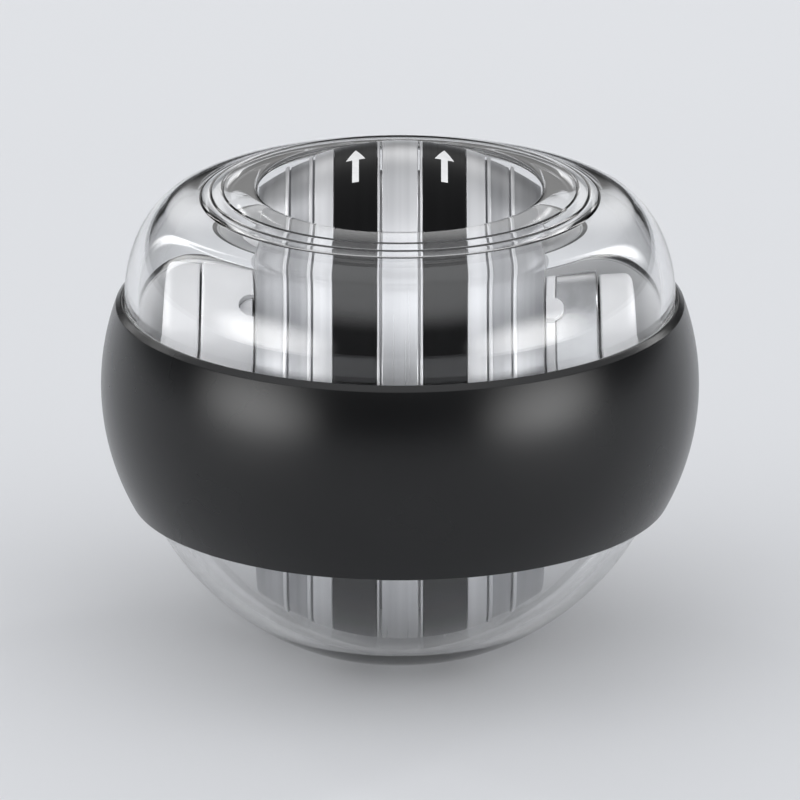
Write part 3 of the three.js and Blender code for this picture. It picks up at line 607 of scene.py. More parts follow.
def clear_plastic():
    """Polished clear polycarbonate, satin where the band covers it, with shade painted near-black into the
    grooves between the lip's rings; lamps shine through without caustics.
    """
    nodes = Nodes("clear_polycarbonate")
    nodes.set(IOR=CLEAR_IOR)
    haze = nodes.noise(HAZE_WAVES)
    belt_half = ((BAND_TOP - BAND_BOTTOM) / 2 - BELT_INSET) * MM
    belt_middle = CENTRE.z + (BAND_TOP + BAND_BOTTOM) / 2 * MM
    belt = nodes.outside(nodes.height(), belt_middle, belt_half, BELT_EDGE * MM)
    nodes.roughness(nodes.ranged(belt, BELT_ROUGHNESS, CLEAR_ROUGHNESS, 0, 1))
    nodes.wire(nodes.ranged(belt, BELT_CLEARNESS, 1, 0, 1), nodes.shader.inputs["Transmission Weight"])
    clear = nodes.shaded(haze, dark=(0.975, 0.98, 0.985), light=(0.99, 0.992, 0.995))
    # Painted shade: a near-black colour put into the lip's grooves in place of the shade there
    painted_shade_colour = nodes.shaded(haze, dark=(0.003, 0.003, 0.0033), light=(0.006, 0.006, 0.0065))
    nodes.colour(nodes.mixed(painted_groove_shade(nodes), clear, painted_shade_colour))
    unseen = nodes.tree.nodes.new("ShaderNodeBsdfTransparent")
    mix = nodes.tree.nodes.new("ShaderNodeMixShader")
    path = nodes.tree.nodes.new("ShaderNodeLightPath")
    nodes.wire(path.outputs["Is Shadow Ray"], mix.inputs["Fac"])
    nodes.wire(nodes.shader.outputs["BSDF"], mix.inputs[1])
    nodes.wire(unseen.outputs["BSDF"], mix.inputs[2])
    nodes.wire(mix.outputs["Shader"], nodes.output.inputs["Surface"])
    return nodes.material


def silicone():
    """Black grip silicone with a fine satin grain."""
    nodes = Nodes("grip_silicone")
    grain = nodes.noise(SILICONE_GRAIN_WAVES, detail=4)
    cloud = nodes.noise(SILICONE_CLOUD_WAVES)
    nodes.clouded(cloud, dark=(0.003, 0.0032, 0.0035), light=(0.005, 0.0052, 0.0057), roughness=(0.25, 0.28))
    nodes.set(Specular_IOR_Level=0.42, Anisotropic=0.5, Anisotropic_Rotation=0.25)
    around = nodes.tree.nodes.new("ShaderNodeTangent")
    around.direction_type = "RADIAL"
    around.axis = "Z"
    nodes.wire(around.outputs["Tangent"], nodes.shader.inputs["Tangent"])
    nodes.bump(grain, SILICONE_GRAIN_STRENGTH, GRAIN_DEPTH)
    return nodes.material


def moulded(name, dark, light, roughness):
    """Satin moulded plastic with a faint cloud and grain."""
    nodes = Nodes(name)
    nodes.clouded(nodes.noise(MOULDED_CLOUD_WAVES), dark, light, roughness)
    nodes.bump(nodes.noise(MOULDED_GRAIN_WAVES), MOULDED_GRAIN_STRENGTH, GRAIN_DEPTH)
    return nodes.material


def turned_lines(nodes, density=1.0):
    """Wide and fine lines that run round the axle, the fine ones in relief."""
    wide = nodes.noise(WIDE_LINE_WAVES * density, WIDE_LINE_RUN, detail=2)
    fine = nodes.noise(FINE_LINE_WAVES * density, FINE_LINE_RUN, detail=4)
    nodes.bump(fine, LINE_STRENGTH, LINE_DEPTH)
    return wide, fine


def turned_surface(name, dark, light, roughness, metallic=1.0, density=1.0, gloss=0.5):
    """Metal or plastic with lines that run round the axle."""
    nodes = Nodes(name)
    wide, fine = turned_lines(nodes, density)
    nodes.colour(nodes.shaded(wide, dark, light))
    nodes.roughness(nodes.ranged(fine, *roughness))
    nodes.set(Metallic=metallic, Specular_IOR_Level=gloss)
    return nodes.material


def silver_paint():
    """Silver paint with lines round the axle, turned bright where the surface lies outermost."""
    nodes = Nodes("silver_paint")
    wide, fine = turned_lines(nodes)
    paint = nodes.shaded(wide, dark=(0.31, 0.315, 0.33), light=(0.46, 0.465, 0.48))
    bright = nodes.shaded(wide, dark=(0.64, 0.645, 0.66), light=(0.8, 0.805, 0.82))
    nodes.colour(nodes.mixed(nodes.outermost(), paint, bright))
    nodes.roughness(nodes.ranged(fine, low=0.28, high=0.34))
    nodes.set(Metallic=0.85)
    return nodes.material


def ink():
    """White printed ink with a slightly uneven film."""
    nodes = Nodes("white_ink")
    film = nodes.noise(INK_WAVES)
    nodes.clouded(film, dark=(0.8, 0.8, 0.8), light=(0.9, 0.9, 0.9), roughness=(0.45, 0.6))
    return nodes.material


def floor_finish():
    """Plain pale floor."""
    nodes = Nodes("pale_floor")
    cloud = nodes.noise(FLOOR_WAVES)
    nodes.colour(nodes.shaded(cloud, dark=(0.73, 0.74, 0.76), light=(0.75, 0.76, 0.78)))
    nodes.set(Roughness=0.8, Specular_IOR_Level=0.2)
    return nodes.material


CLEAR = clear_plastic()
SILICONE = silicone()
WHITE = moulded("white_moulding", dark=(0.86, 0.86, 0.87), light=(0.9, 0.9, 0.91), roughness=(0.28, 0.36))
BLACK = moulded(
    "black_moulding", dark=(0.02, 0.02, 0.021), light=(0.032, 0.032, 0.034), roughness=(0.35, 0.45)
)
TREAD = turned_surface(
    "tread_plastic",
    dark=(0.003, 0.003, 0.0033),
    light=(0.005, 0.005, 0.0054),
    roughness=(0.3, 0.36),
    metallic=0.0,
    gloss=0.05,
)
SILVER = silver_paint()
ZINC = turned_surface(
    "turned_zinc", dark=(0.6, 0.605, 0.62), light=(0.8, 0.805, 0.82), roughness=(0.27, 0.33)
)
BARREL = turned_surface(
    "drawn_steel", dark=(0.5, 0.505, 0.515), light=(0.54, 0.545, 0.555), roughness=(0.2, 0.22), density=0.6
)
STEEL = turned_surface(
    "ground_steel", dark=(0.62, 0.625, 0.635), light=(0.7, 0.705, 0.715), roughness=(0.14, 0.24), density=0.5
)
SPRING = turned_surface(
    "blued_spring", dark=(0.16, 0.18, 0.24), light=(0.25, 0.27, 0.32), roughness=(0.25, 0.38), density=0.8
)
INK = ink()


# Clear shells


def bowl_inside(angle):
    """A point of the bowl's inside at an angle from its pole, where the floor lies a little nearer."""
    share = min(angle / CAVITY_BLEND_ANGLE, 1)
    blend = share * share * (3 - 2 * share)
    radius = -FOOT_HEIGHT - FOOT_WALL + (CAVITY_RADIUS + FOOT_HEIGHT + FOOT_WALL) * blend
    return (radius * math.sin(radians(angle)), -radius * math.cos(radians(angle)))


def bottom_curve():
    """The bowl's outside from the sphere down to the flat foot, as one smooth curve."""
    start_angle = radians(FOOT_BLEND_ANGLE)
    start = Vector((LOWER_RADIUS * math.sin(start_angle), -LOWER_RADIUS * math.cos(start_angle)))
    slope = Vector((-math.cos(start_angle), -math.sin(start_angle)))
    end = Vector((FOOT_RADIUS, FOOT_HEIGHT))
    pull = (start - end).length / 3
    return bezier(start, start + slope * pull, end + Vector((pull, 0)), end)


def lower_shell():
    """Clear bowl with a flat foot and the lower half of the race."""
    inside = [bowl_inside(90 * step / BOWL_STEPS) for step in range(BOWL_STEPS)]
    inside = [point for point in inside if point[1] < -RACE_HALF_HEIGHT]
    inner_lap = FLANGE_RADIUS - LAP_WIDTH - LAP_FIT
    wall_start = -FLANGE_HEIGHT - FLANGE_CHAMFER
    sphere_end = -LOWER_RADIUS * math.cos(radians(FOOT_BLEND_ANGLE))
    outline = inside + [
        (sphere_at(CAVITY_RADIUS, RACE_HALF_HEIGHT), -RACE_HALF_HEIGHT),
        (RACE_RADIUS, -RACE_HALF_HEIGHT),
        (RACE_RADIUS, 0),
        (inner_lap, 0),
        (inner_lap, -LAP_HEIGHT),
        (FLANGE_RADIUS, -LAP_HEIGHT),
        (FLANGE_RADIUS, -FLANGE_HEIGHT),
    ]
    outline += on_sphere(LOWER_RADIUS, wall_start, sphere_end, BOWL_STEPS)
    outline += bottom_curve()[1:] + [(0, FOOT_HEIGHT)]
    shell = turned("lower_shell_clear", outline, "Z", SHELL_SIDES)
    dress(shell, "housing", "lower_shell", CLEAR)


def lip_outline():
    """The rolled crest of the bore and the rings that step down to the shoulder, from the bore outwards."""
    bottom = sphere_at(SWEEP_RADIUS, BORE_RADIUS)
    half_axes = (CREST_RADIUS - BORE_RADIUS, LIP_TOP - bottom)
    points = [(BORE_RADIUS, bottom)] + arc((CREST_RADIUS, bottom), half_axes, 180, 90, LIP_STEPS)[1:]
    start = Vector(points[-1])
    for edge, height in zip(RING_EDGES, RING_HEIGHTS):
        end = Vector((edge, height))
        for step in range(1, LIP_STEPS + 1):
            share = step / LIP_STEPS
            crown = 4 * RING_CROWN * share * (1 - share)
            across, along = start.lerp(end, share)
            points.append((across, along + crown))
        points.append((edge + RING_GROOVE_WIDTH / 2, height - RING_GROOVE_DEPTH))
        start = Vector((edge + RING_GROOVE_WIDTH, height - RING_GROOVE_DEPTH / 2))
    points.append(tuple(start))
    return points


def shoulder_slope(half_axes, angle):
    """The way down and out along an ellipse at an angle."""
    across = half_axes[0] * math.sin(radians(angle))
    return Vector((across, -half_axes[1] * math.cos(radians(angle)))).normalized()


def inside_outline():
    """The shoulder's inside from the band upwards, and the lip's underside in one sweep to the bore."""
    half_axes = (UPPER_WALL_RADIUS - SHOULDER_EDGE - UPPER_WALL, SHOULDER_TOP - BAND_TOP - UPPER_WALL)
    wall = arc((SHOULDER_EDGE, BAND_TOP), half_axes, 0, INSIDE_BLEND_ANGLE)
    start = Vector(wall[-1])
    end = Vector((BORE_RADIUS, sphere_at(SWEEP_RADIUS, BORE_RADIUS)))
    slope = Vector((end.y, -end.x)).normalized()
    first = start - shoulder_slope(half_axes, INSIDE_BLEND_ANGLE) * INSIDE_PULL
    return wall + bezier(start, first, end + slope * LIP_UNDERCUT, end)[1:-1]


def shoulder_outline(start):
    """The shoulder's outside, which leaves the lip in one smooth sweep and ends upright at the band."""
    half_axes = (UPPER_WALL_RADIUS - SHOULDER_EDGE, SHOULDER_TOP - BAND_TOP)
    lower = arc((SHOULDER_EDGE, BAND_TOP), half_axes, SHOULDER_BLEND_ANGLE, 0)
    end = Vector(lower[0])
    slope = -shoulder_slope(half_axes, SHOULDER_BLEND_ANGLE)
    pull = (end - start).length / 3
    level = Vector((math.cos(radians(LIP_FOOT_SLOPE)), -math.sin(radians(LIP_FOOT_SLOPE))))
    return bezier(start, start + level * pull, end + slope * pull, end, CURVE_STEPS // 2)[1:-1] + lower


def upper_shell():
    """Clear shoulder with the ringed lip and the upper half of the race."""
    lip = lip_outline()
    shoulder = shoulder_outline(Vector(lip[-1]))
    outline = lip + shoulder + [
        (UPPER_WALL_RADIUS, FLANGE_HEIGHT + FLANGE_CHAMFER),
        (FLANGE_RADIUS, FLANGE_HEIGHT),
        (FLANGE_RADIUS, LAP_FIT - LAP_HEIGHT),
        (FLANGE_RADIUS - LAP_WIDTH, LAP_FIT - LAP_HEIGHT),
        (FLANGE_RADIUS - LAP_WIDTH, 0),
        (RACE_RADIUS, 0),
        (RACE_RADIUS, RACE_HALF_HEIGHT),
    ]
    outline += on_sphere(CAVITY_RADIUS, RACE_HALF_HEIGHT, FLANGE_HEIGHT, CORNER_STEPS)
    outline += inside_outline()
    shell = turned("upper_shell_clear", outline, "Z", SHELL_SIDES)
    dress(shell, "housing", "upper_shell", CLEAR)


def grip_band():
    """Silicone sleeve with a bellied outside, soft edges and a narrow flat top."""

    def belly_at(height):
        inward = sphere_at(BAND_BELLY_RADIUS, height - BAND_BELLY_HEIGHT)
        return BAND_RADIUS - BAND_BELLY_RADIUS + inward

    top_outer = BAND_TOP - BAND_TOP_FALL
    low_outer = BAND_BOTTOM + BAND_EDGE
    heights = [low_outer + (top_outer - low_outer) * step / CURVE_STEPS for step in range(1, CURVE_STEPS)]
    hook = FLANGE_HEIGHT + FLANGE_CHAMFER + BAND_FIT
    inner = UPPER_WALL_RADIUS + BAND_FIT
    hook_length = -hook - BAND_FIT - BAND_BOTTOM
    lower_inside = [BAND_BOTTOM + hook_length * step / HOOK_STEPS for step in range(HOOK_STEPS, 0, -1)]
    outline = [(belly_at(low_outer), low_outer, BAND_BOTTOM_ROUND)]
    outline += [(belly_at(height), height) for height in heights]
    outline += [
        (belly_at(top_outer), top_outer, BAND_TOP_ROUND),
        (inner, BAND_TOP, BAND_INNER_ROUND),
        (inner, hook),
        (FLANGE_RADIUS + BAND_FIT, FLANGE_HEIGHT),
        (FLANGE_RADIUS + BAND_FIT, -FLANGE_HEIGHT - BAND_FIT),
    ]
    outline += [(sphere_at(LOWER_RADIUS + BAND_FIT, height), height) for height in lower_inside]
    outline += [(sphere_at(LOWER_RADIUS + BAND_FIT, BAND_BOTTOM), BAND_BOTTOM, BAND_INNER_ROUND)]
    band = turned("grip_band_skin", rounded(outline), "Z", SHELL_SIDES)
    dress(band, "housing", "grip_band", SILICONE)


# Rotor


def flywheel():
    """Zinc flywheel: the heavy ring, its web and hub, and the bright rim between the treads."""
    half = [
        (AXLE_RADIUS + FIT_CLEARANCE, HUB_HALF_LENGTH),
        (HUB_RADIUS, HUB_HALF_LENGTH, WEIGHT_EDGE),
        (HUB_RADIUS, WEB_HALF, WEIGHT_EDGE),
        (WEIGHT_BORE, WEB_HALF, WEIGHT_EDGE),
        (WEIGHT_BORE, WEIGHT_HALF_WIDTH, WEIGHT_EDGE),
        (WEIGHT_RADIUS, WEIGHT_HALF_WIDTH, WEIGHT_EDGE),
        (WEIGHT_RADIUS, RIM_HALF_WIDTH),
        (sphere_at(ROTOR_RADIUS, RIM_HALF_WIDTH), RIM_HALF_WIDTH, RIM_EDGE),
    ]
    outline = [*half, (ROTOR_RADIUS, 0), *other_half(half)]
    wheel = turned("flywheel_turned", rounded(outline), "X", ROTOR_SIDES)
    dress(wheel, "rotor", "flywheel", ZINC)


def strip(radius, start, end, edge):
    """A stretch of the rotor's outside on one sphere, with rounded edges at both ends."""
    steps = max(int((end - start) / STRIP_STEP), 1)
    between = on_sphere(radius, start, end, steps)[1:-1]
    first = (sphere_at(radius, start), start, edge)
    return [first, *between, (sphere_at(radius, end), end, edge)]


def rotor_half(side, name, node, end_outline):
    """Silver moulding: lip beside the tread, bright strip, two fine ribs and a plain flank."""
    flank = ROTOR_RADIUS - FLANK_DROP
    inside = WEIGHT_RADIUS + FIT_CLEARANCE
    weight_end = WEIGHT_HALF_WIDTH + WEIGHT_GAP
    plate = ROTOR_HALF_WIDTH - ROTOR_WALL
    boss = HUB_HALF_LENGTH + WEIGHT_GAP
    lip = sphere_at(ROTOR_RADIUS, TREAD_LIP_END)
    tread_end = TREAD_END + FIT_CLEARANCE / 2
    outline = [
        (inside, RIM_GAP_END),
        (lip, RIM_GAP_END, RIM_EDGE),
        (lip, TREAD_LIP_END, RIM_EDGE),
        (TREAD_SEAT, TREAD_LIP_END),
        (TREAD_SEAT, tread_end),
    ]
    groove = ROTOR_RADIUS - RIB_GROOVE_DEPTH
    second_groove = SECOND_RIB[0] - RIB_GROOVE_WIDTH
    outline += strip(ROTOR_RADIUS, tread_end, SILVER_END, FLANK_EDGE)
    outline += strip(groove, SILVER_END, FIRST_RIB[0], FLANK_FOOT_ROUND)
    outline += strip(ROTOR_RADIUS, *FIRST_RIB, FLANK_EDGE)
    outline += strip(flank, FIRST_RIB[1], second_groove, FLANK_FOOT_ROUND)
    outline += strip(groove, second_groove, SECOND_RIB[0], FLANK_FOOT_ROUND)
    outline += strip(ROTOR_RADIUS, *SECOND_RIB, FLANK_EDGE)
    outline += strip(flank, SECOND_RIB[1], ROTOR_HALF_WIDTH, FLANK_FOOT_ROUND)[:-1]
    outline += [(sphere_at(flank, ROTOR_HALF_WIDTH), ROTOR_HALF_WIDTH, END_EDGE)]
    outline += end_outline
    outline += [
        (AXLE_RADIUS + FIT_CLEARANCE, boss),
        (ROTOR_BOSS_RADIUS, boss),
        (ROTOR_BOSS_RADIUS, plate),
        (sphere_at(flank - ROTOR_WALL, plate), plate),
        (sphere_at(flank - ROTOR_WALL, weight_end), weight_end),
        (inside, weight_end),
    ]
    half = turned(name, mirrored(rounded(outline), side), "X", ROTOR_SIDES)
    dress(half, "rotor", node, SILVER)


def rotor_halves():
    bore = AXLE_RADIUS + FIT_CLEARANCE
    cup_floor = ROTOR_HALF_WIDTH - CLUTCH_CUP_DEPTH
    cup = [(CLUTCH_CUP_RADIUS, ROTOR_HALF_WIDTH), (CLUTCH_CUP_RADIUS, cup_floor), (bore, cup_floor)]
    rotor_half(-1, "left_rotor_half_painted", "left_rotor_half", [(bore, ROTOR_HALF_WIDTH)])
    rotor_half(1, "right_rotor_half_painted", "right_rotor_half", cup)


def tread(side, name, node):
    """Black ring in the seat of its half."""
    inner = TREAD_SEAT + FIT_CLEARANCE
    outline = [(inner, TREAD_START)] + strip(TREAD_RADIUS, TREAD_START, TREAD_END, TREAD_EDGE)
    outline += [(inner, TREAD_END)]
    ring = turned(name, mirrored(rounded(outline), side), "X", ROTOR_SIDES)
    dress(ring, "rotor", node, TREAD)


def arrow_half_width(share):
    """Half the arrow's width at a share of its length from the tip."""
    head = ARROW_HEAD_LENGTH / ARROW_LENGTH
    if share < head:
        return ARROW_HEAD_WIDTH / 2 * share / head
    return ARROW_STEM_WIDTH / 2


def arrow_layer(mesh, at, shares, lift):
    """One face of the arrow, lifted off the tread's own form. Gives its border."""
    rows = [[mesh.verts.new(at(0, 0, lift))]]
    for share in shares:
        half = arrow_half_width(share)
        columns = (-half, -half / 3, half / 3, half)
        rows.append([mesh.verts.new(at(across, share, lift)) for across in columns])
    for row, following in zip(rows, rows[1:]):
        for index in range(3):
            corners = [row[min(index, len(row) - 1)], row[min(index + 1, len(row) - 1)]]
            corners += [following[index + 1], following[index]]
            mesh.faces.new(list(dict.fromkeys(corners)))
    left = [row[0] for row in rows]
    right = [row[-1] for row in reversed(rows[1:])]
    return left + rows[-1][1:-1] + right


def arrow(name, side, turn):
    """A plain arrow printed on a tread, its tip away over the top, curved to the tread's own form."""
    middle_x = side * (TREAD_START + TREAD_END) / 2
    head = ARROW_HEAD_LENGTH / ARROW_LENGTH
    stem = [head + (1 - head) * row / ARROW_ROWS for row in range(ARROW_ROWS + 1)]
    shares = [head * row / ARROW_ROWS for row in range(1, ARROW_ROWS)] + [head - TOUCH, *stem]

    def at(across, share, lift):
        x = middle_x + across
        ring = sphere_at(TREAD_RADIUS, x) + lift
        angle = radians(ARROW_TIP_ANGLE + turn) - share * ARROW_LENGTH / TREAD_RADIUS
        return CENTRE + Vector((x, -ring * math.cos(angle), ring * math.sin(angle))) * MM

    mesh = bmesh.new()
    layers = [arrow_layer(mesh, at, shares, lift) for lift in (ARROW_RISE, -ARROW_SINK)]
    walled(mesh, *layers)
    printed = finished(name, mesh)
    printed.data.materials.append(INK)
    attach(printed, "rotor")


def arrows():
    for copy in range(ARROW_COPIES):
        turn = 360 * copy / ARROW_COPIES
        arrow(f"left_arrow_{copy + 1}", -1, turn)
        arrow(f"right_arrow_{copy + 1}", 1, turn)


def axle():
    """Steel axle with stepped tips."""
    step = EYE_START - TIP_EYE_GAP
    half = [(AXLE_RADIUS, step, AXLE_EDGE), (TIP_RADIUS, step), (TIP_RADIUS, TIP_REACH, TIP_EDGE)]
    outline = [(0, -TIP_REACH), *other_half(half), *half, (0, TIP_REACH)]
    rod = turned("axle_ground", rounded(outline), "X", SMALL_SIDES)
    dress(rod, "rotor", "axle", STEEL)


# Gimbal


def bar(name, radius, start, end, turn=None, across=0.0, sides=SMALL_SIDES):
    """A round bar along X, moved out from the axle and turned about it, for joining and cutting."""
    made = turned(name, [(0, start), (radius, start), (radius, end), (0, end)], "X", sides)
    shift = Vector((0, 0, across * MM))
    for vertex in made.data.vertices:
        place = vertex.co - CENTRE + shift
        vertex.co = CENTRE + (turn @ place if turn else place)
    return made


def gimbal_ring():
    """Black hoop with an eye at each end for the axle's tips."""
    inner = RING_RADIUS - RING_THICKNESS
    hoop = turned("gimbal_ring_moulded", rounded([
        (inner, -RING_HALF_HEIGHT, MOULDED_EDGE),
        (RING_RADIUS, -RING_HALF_HEIGHT, MOULDED_EDGE),
        (RING_RADIUS, RING_HALF_HEIGHT, MOULDED_EDGE),
        (inner, RING_HALF_HEIGHT, MOULDED_EDGE),
    ]), "Z", DRUM_SIDES)
    end = sphere_at(RING_RADIUS, EYE_RADIUS)
    eyes = [bar("eye", EYE_RADIUS, EYE_START, end), bar("eye", EYE_RADIUS, -end, -EYE_START)]
    combined(hoop, eyes, "UNION")
    combined(hoop, [bar("eye_bore", EYE_BORE, -TIP_REACH, TIP_REACH)], "DIFFERENCE")
    dress(hoop, "gimbal", "gimbal_ring", BLACK)


def snap_shape(width, length, side):
    """The U-shaped outline of a snap tab or window, its round end outwards along the axle."""
    half = width / 2
    end_round = min(half, length)
    points = [(DRUM_START - SNAP_ROOT, half), (DRUM_START - SNAP_ROOT, -half)]
    points += arc((DRUM_START + length - end_round, 0), (end_round, half), -90, 90, SNAP_STEPS)
    return [(side * x, y) for x, y in points]


def snaps(width, length, low, high, side):
    """The snap tabs or windows round the axle, as prisms standing up from it."""
    shape = snap_shape(width, length, side)
    return [extruded("snap", shape, low, high, turn) for turn in SNAP_TURNS]


def bearing_housing():
    """White left drum with the bearing's hub and three snap windows."""
    inner = DRUM_RADIUS - DRUM_WALL
    web_start = DRUM_WEB_END - DRUM_WEB
    pocket_floor = DRUM_END - POCKET_DEPTH
    drum = turned("bearing_housing_moulded", mirrored(rounded([
        (DRUM_RADIUS, DRUM_START, MOULDED_EDGE),
        (DRUM_RADIUS, DRUM_END, DRUM_ROUND),
        (inner, DRUM_END, MOULDED_EDGE),
        (inner, DRUM_WEB_END),
        (DRUM_HUB_RADIUS, DRUM_WEB_END),
        (DRUM_HUB_RADIUS, DRUM_END),
        (BEARING_POCKET, DRUM_END),
        (BEARING_POCKET, pocket_floor),
        (DRUM_HUB_BORE, pocket_floor),
        (DRUM_HUB_BORE, pocket_floor - POCKET_FLOOR),
        (DRUM_HUB_RADIUS, pocket_floor - POCKET_FLOOR),
        (DRUM_HUB_RADIUS, web_start),
        (inner, web_start),
        (inner, DRUM_START, MOULDED_EDGE),
    ]), -1), "X", DRUM_SIDES)
    windows = snaps(WINDOW_WIDTH, WINDOW_LENGTH, inner - CUT_OVERRUN, DRUM_RADIUS + CUT_OVERRUN, -1)
    combined(drum, windows, "DIFFERENCE")
    dress(drum, "gimbal", "bearing_housing", WHITE)


def trim(start, end):
    """A bar that cuts off what stands beyond a lid's inner face."""
    return bar("trim", DRUM_RADIUS + CUT_OVERRUN, start, end, sides=DRUM_SIDES)


def housing_lid():
    """White lid in the left drum, whose tabs show in the windows."""
    start = DRUM_START + LID_START_INSET
    rim = DRUM_RADIUS - DRUM_WALL - SNAP_FIT
    lid = turned("housing_lid_moulded", mirrored(rounded([
        (BEARING_POCKET, start),
        (rim, start, MOULDED_EDGE),
        (rim, start + LID_THICKNESS, MOULDED_EDGE),
        (BEARING_POCKET, start + LID_THICKNESS),
    ]), -1), "X", DRUM_SIDES)
    width = WINDOW_WIDTH - 2 * WINDOW_FIT
    tabs = snaps(width, WINDOW_LENGTH - WINDOW_FIT, rim - DRUM_WALL, DRUM_RADIUS - WINDOW_DEPTH, -1)
    combined(lid, tabs, "UNION")
    combined(lid, [trim(-start, TRIM_LENGTH - start)], "DIFFERENCE")
    dress(lid, "gimbal", "housing_lid", WHITE)


def end_cover(side, name, node, radius, hub):
    """Dished white cover with a hub, notched for the gimbal ring, with three sunk screw holes."""
    inner = radius - COVER_WALL
    face = COVER_END - COVER_WALL
    cover = turned(name, mirrored(rounded([
        (radius, COVER_START, COVER_FOOT_ROUND),
        (radius, COVER_END, COVER_ROUND),
        (COVER_BORE, COVER_END, MOULDED_EDGE),
        *hub,
        (hub[-1][0], face),
        (inner, face, COVER_FOOT_ROUND),
        (inner, COVER_START),
    ]), side), "X", DRUM_SIDES)
    outer = side * (COVER_END + CUT_OVERRUN)
    hole = sorted((side * (COVER_START - CUT_OVERRUN), outer))
    sink = sorted((side * (COVER_END - SCREW_HEAD_SINK - SCREW_SINK_DEPTH), outer))
    tools = []
    for size, ends in ((SCREW_RADIUS, hole), (SCREW_HEAD_RADIUS, sink)):
        tools += [bar("sink", size + FIT_CLEARANCE, *ends, turn, SCREW_CIRCLE) for turn in SCREW_TURNS]
    key_inner = RING_RADIUS - RING_THICKNESS - KEY_CLEARANCE
    key_half = RING_HALF_HEIGHT + KEY_CLEARANCE
    tools.append(turned("key", [
        (key_inner, -key_half),
        (CAVITY_RADIUS + CUT_OVERRUN, -key_half),
        (CAVITY_RADIUS + CUT_OVERRUN, key_half),
        (key_inner, key_half),
    ], "Z", DRUM_SIDES))
    combined(cover, tools, "DIFFERENCE")
    dress(cover, "gimbal", node, WHITE)


def end_covers():
    """The left cover's boss stops its bearing, and the right cover's hub is the pocket of its own."""
    pocket_end = reach("right_bearing_outer_race", 1).x + POCKET_END_FIT
    boss = [(COVER_BORE, COVER_START), (reach("left_bearing_outer_race", 1).y, COVER_START)]
    pocket = [
        (COVER_BORE, pocket_end),
        (BEARING_POCKET, pocket_end),
        (BEARING_POCKET, COVER_START),
        (DRUM_HUB_RADIUS, COVER_START),
    ]
    end_cover(-1, "left_cover_moulded", "left_cover", LEFT_COVER_RADIUS, boss)
    end_cover(1, "right_cover_moulded", "right_cover", RIGHT_COVER_RADIUS, pocket)


def spring_barrel():
    """Drawn steel drum, rounded at its closed end."""
    inner = BARREL_RADIUS - BARREL_WALL
    floor = BARREL_END - BARREL_WALL
    drum = turned("spring_barrel_drawn", rounded([
        (BARREL_RADIUS, BARREL_START, BARREL_EDGE),
        (BARREL_RADIUS, BARREL_END, BARREL_ROUND),
        (BARREL_BORE, BARREL_END),
        (BARREL_BORE, floor),
        (inner, floor, BARREL_EDGE),
        (inner, BARREL_START, BARREL_EDGE),
    ]), "X", DRUM_SIDES)
    dress(drum, "gimbal", "spring_barrel", BARREL)


def barrel_lid():
    """White lid whose three round-ended tabs lap over the steel drum."""
    lip = BARREL_RADIUS - BARREL_WALL - SNAP_FIT
    plate_end = BARREL_START - FIT_CLEARANCE
    lid = turned("barrel_lid_moulded", rounded([
        (ARBOR_CLEAR, DRUM_START),
        (BARREL_RADIUS, DRUM_START, MOULDED_EDGE),
        (BARREL_RADIUS, plate_end, MOULDED_EDGE),
        (lip, plate_end),
        (lip, BARREL_START + LID_LIP_HEIGHT, MOULDED_EDGE),
        (lip - LID_LIP_WIDTH, BARREL_START + LID_LIP_HEIGHT, MOULDED_EDGE),
        (lip - LID_LIP_WIDTH, plate_end),
        (ARBOR_CLEAR, plate_end),
    ]), "X", DRUM_SIDES)
    lap = BARREL_RADIUS + FIT_CLEARANCE
    tabs = snaps(SNAP_WIDTH, SNAP_LENGTH, lap, lap + SNAP_THICKNESS, 1)
    half = SNAP_WIDTH / 2
    root = [(DRUM_START, -half), (plate_end, -half), (plate_end, half), (DRUM_START, half)]
    tabs += [extruded("root", root, lip, lap + SNAP_THICKNESS, turn) for turn in SNAP_TURNS]
    combined(lid, tabs, "UNION")
    combined(lid, [trim(DRUM_START - TRIM_LENGTH, DRUM_START)], "DIFFERENCE")
    dress(lid, "gimbal", "barrel_lid", WHITE)


def cover_screws(side, word):
    """The slotted screws of one cover."""
    top = COVER_END - SCREW_HEAD_SINK
    foot = top - SCREW_HEAD_HEIGHT
    for copy, turn in enumerate(SCREW_TURNS):
        node = f"{word}_cover_screw_{copy + 1}"
        tip = abs(reach(node, 0 if side > 0 else 1).x)
        outline = rounded([
            (0, tip),
            (SCREW_RADIUS, tip, SCREW_EDGE),
            (SCREW_RADIUS, foot),
            (SCREW_HEAD_RADIUS, foot),
            (SCREW_HEAD_RADIUS, top, SCREW_EDGE),
            (0, top),
        ])
        screw = turned(f"{node}_turned", mirrored(outline, side), "X", SMALL_SIDES)
        corners = ((-1, -1), (1, -1), (1, 1), (-1, 1))
        slot_shape = [(x * SCREW_SLOT / 2, y * SLOT_HALF_LENGTH) for x, y in corners]
        low, high = sorted((side * (top - SCREW_SLOT), side * (top + CUT_OVERRUN)))
        slot = extruded("slot", slot_shape, low, high, Matrix.Rotation(radians(90), 3, "Y"))
        combined(screw, [slot], "DIFFERENCE")
        shift = turn @ Vector((0, 0, SCREW_CIRCLE * MM))
        for vertex in screw.data.vertices:
            vertex.co = vertex.co + shift
        dress(screw, "gimbal", node, STEEL)


def finish_kept_nodes():
    """The inner pieces keep their own solids and get finished metal."""
    for name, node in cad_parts.items():
        if not node.hide_render:
            node.data.materials.clear()
            node.data.materials.append(SPRING if name == "mainspring" else STEEL)


# Stage


def floor():
    mesh = bmesh.new()
    bmesh.ops.create_grid(mesh, x_segments=FLOOR_CELLS, y_segments=FLOOR_CELLS, size=FLOOR_SIDE / 2)
    ground = finished("floor", mesh)
    ground.data.materials.append(floor_finish())


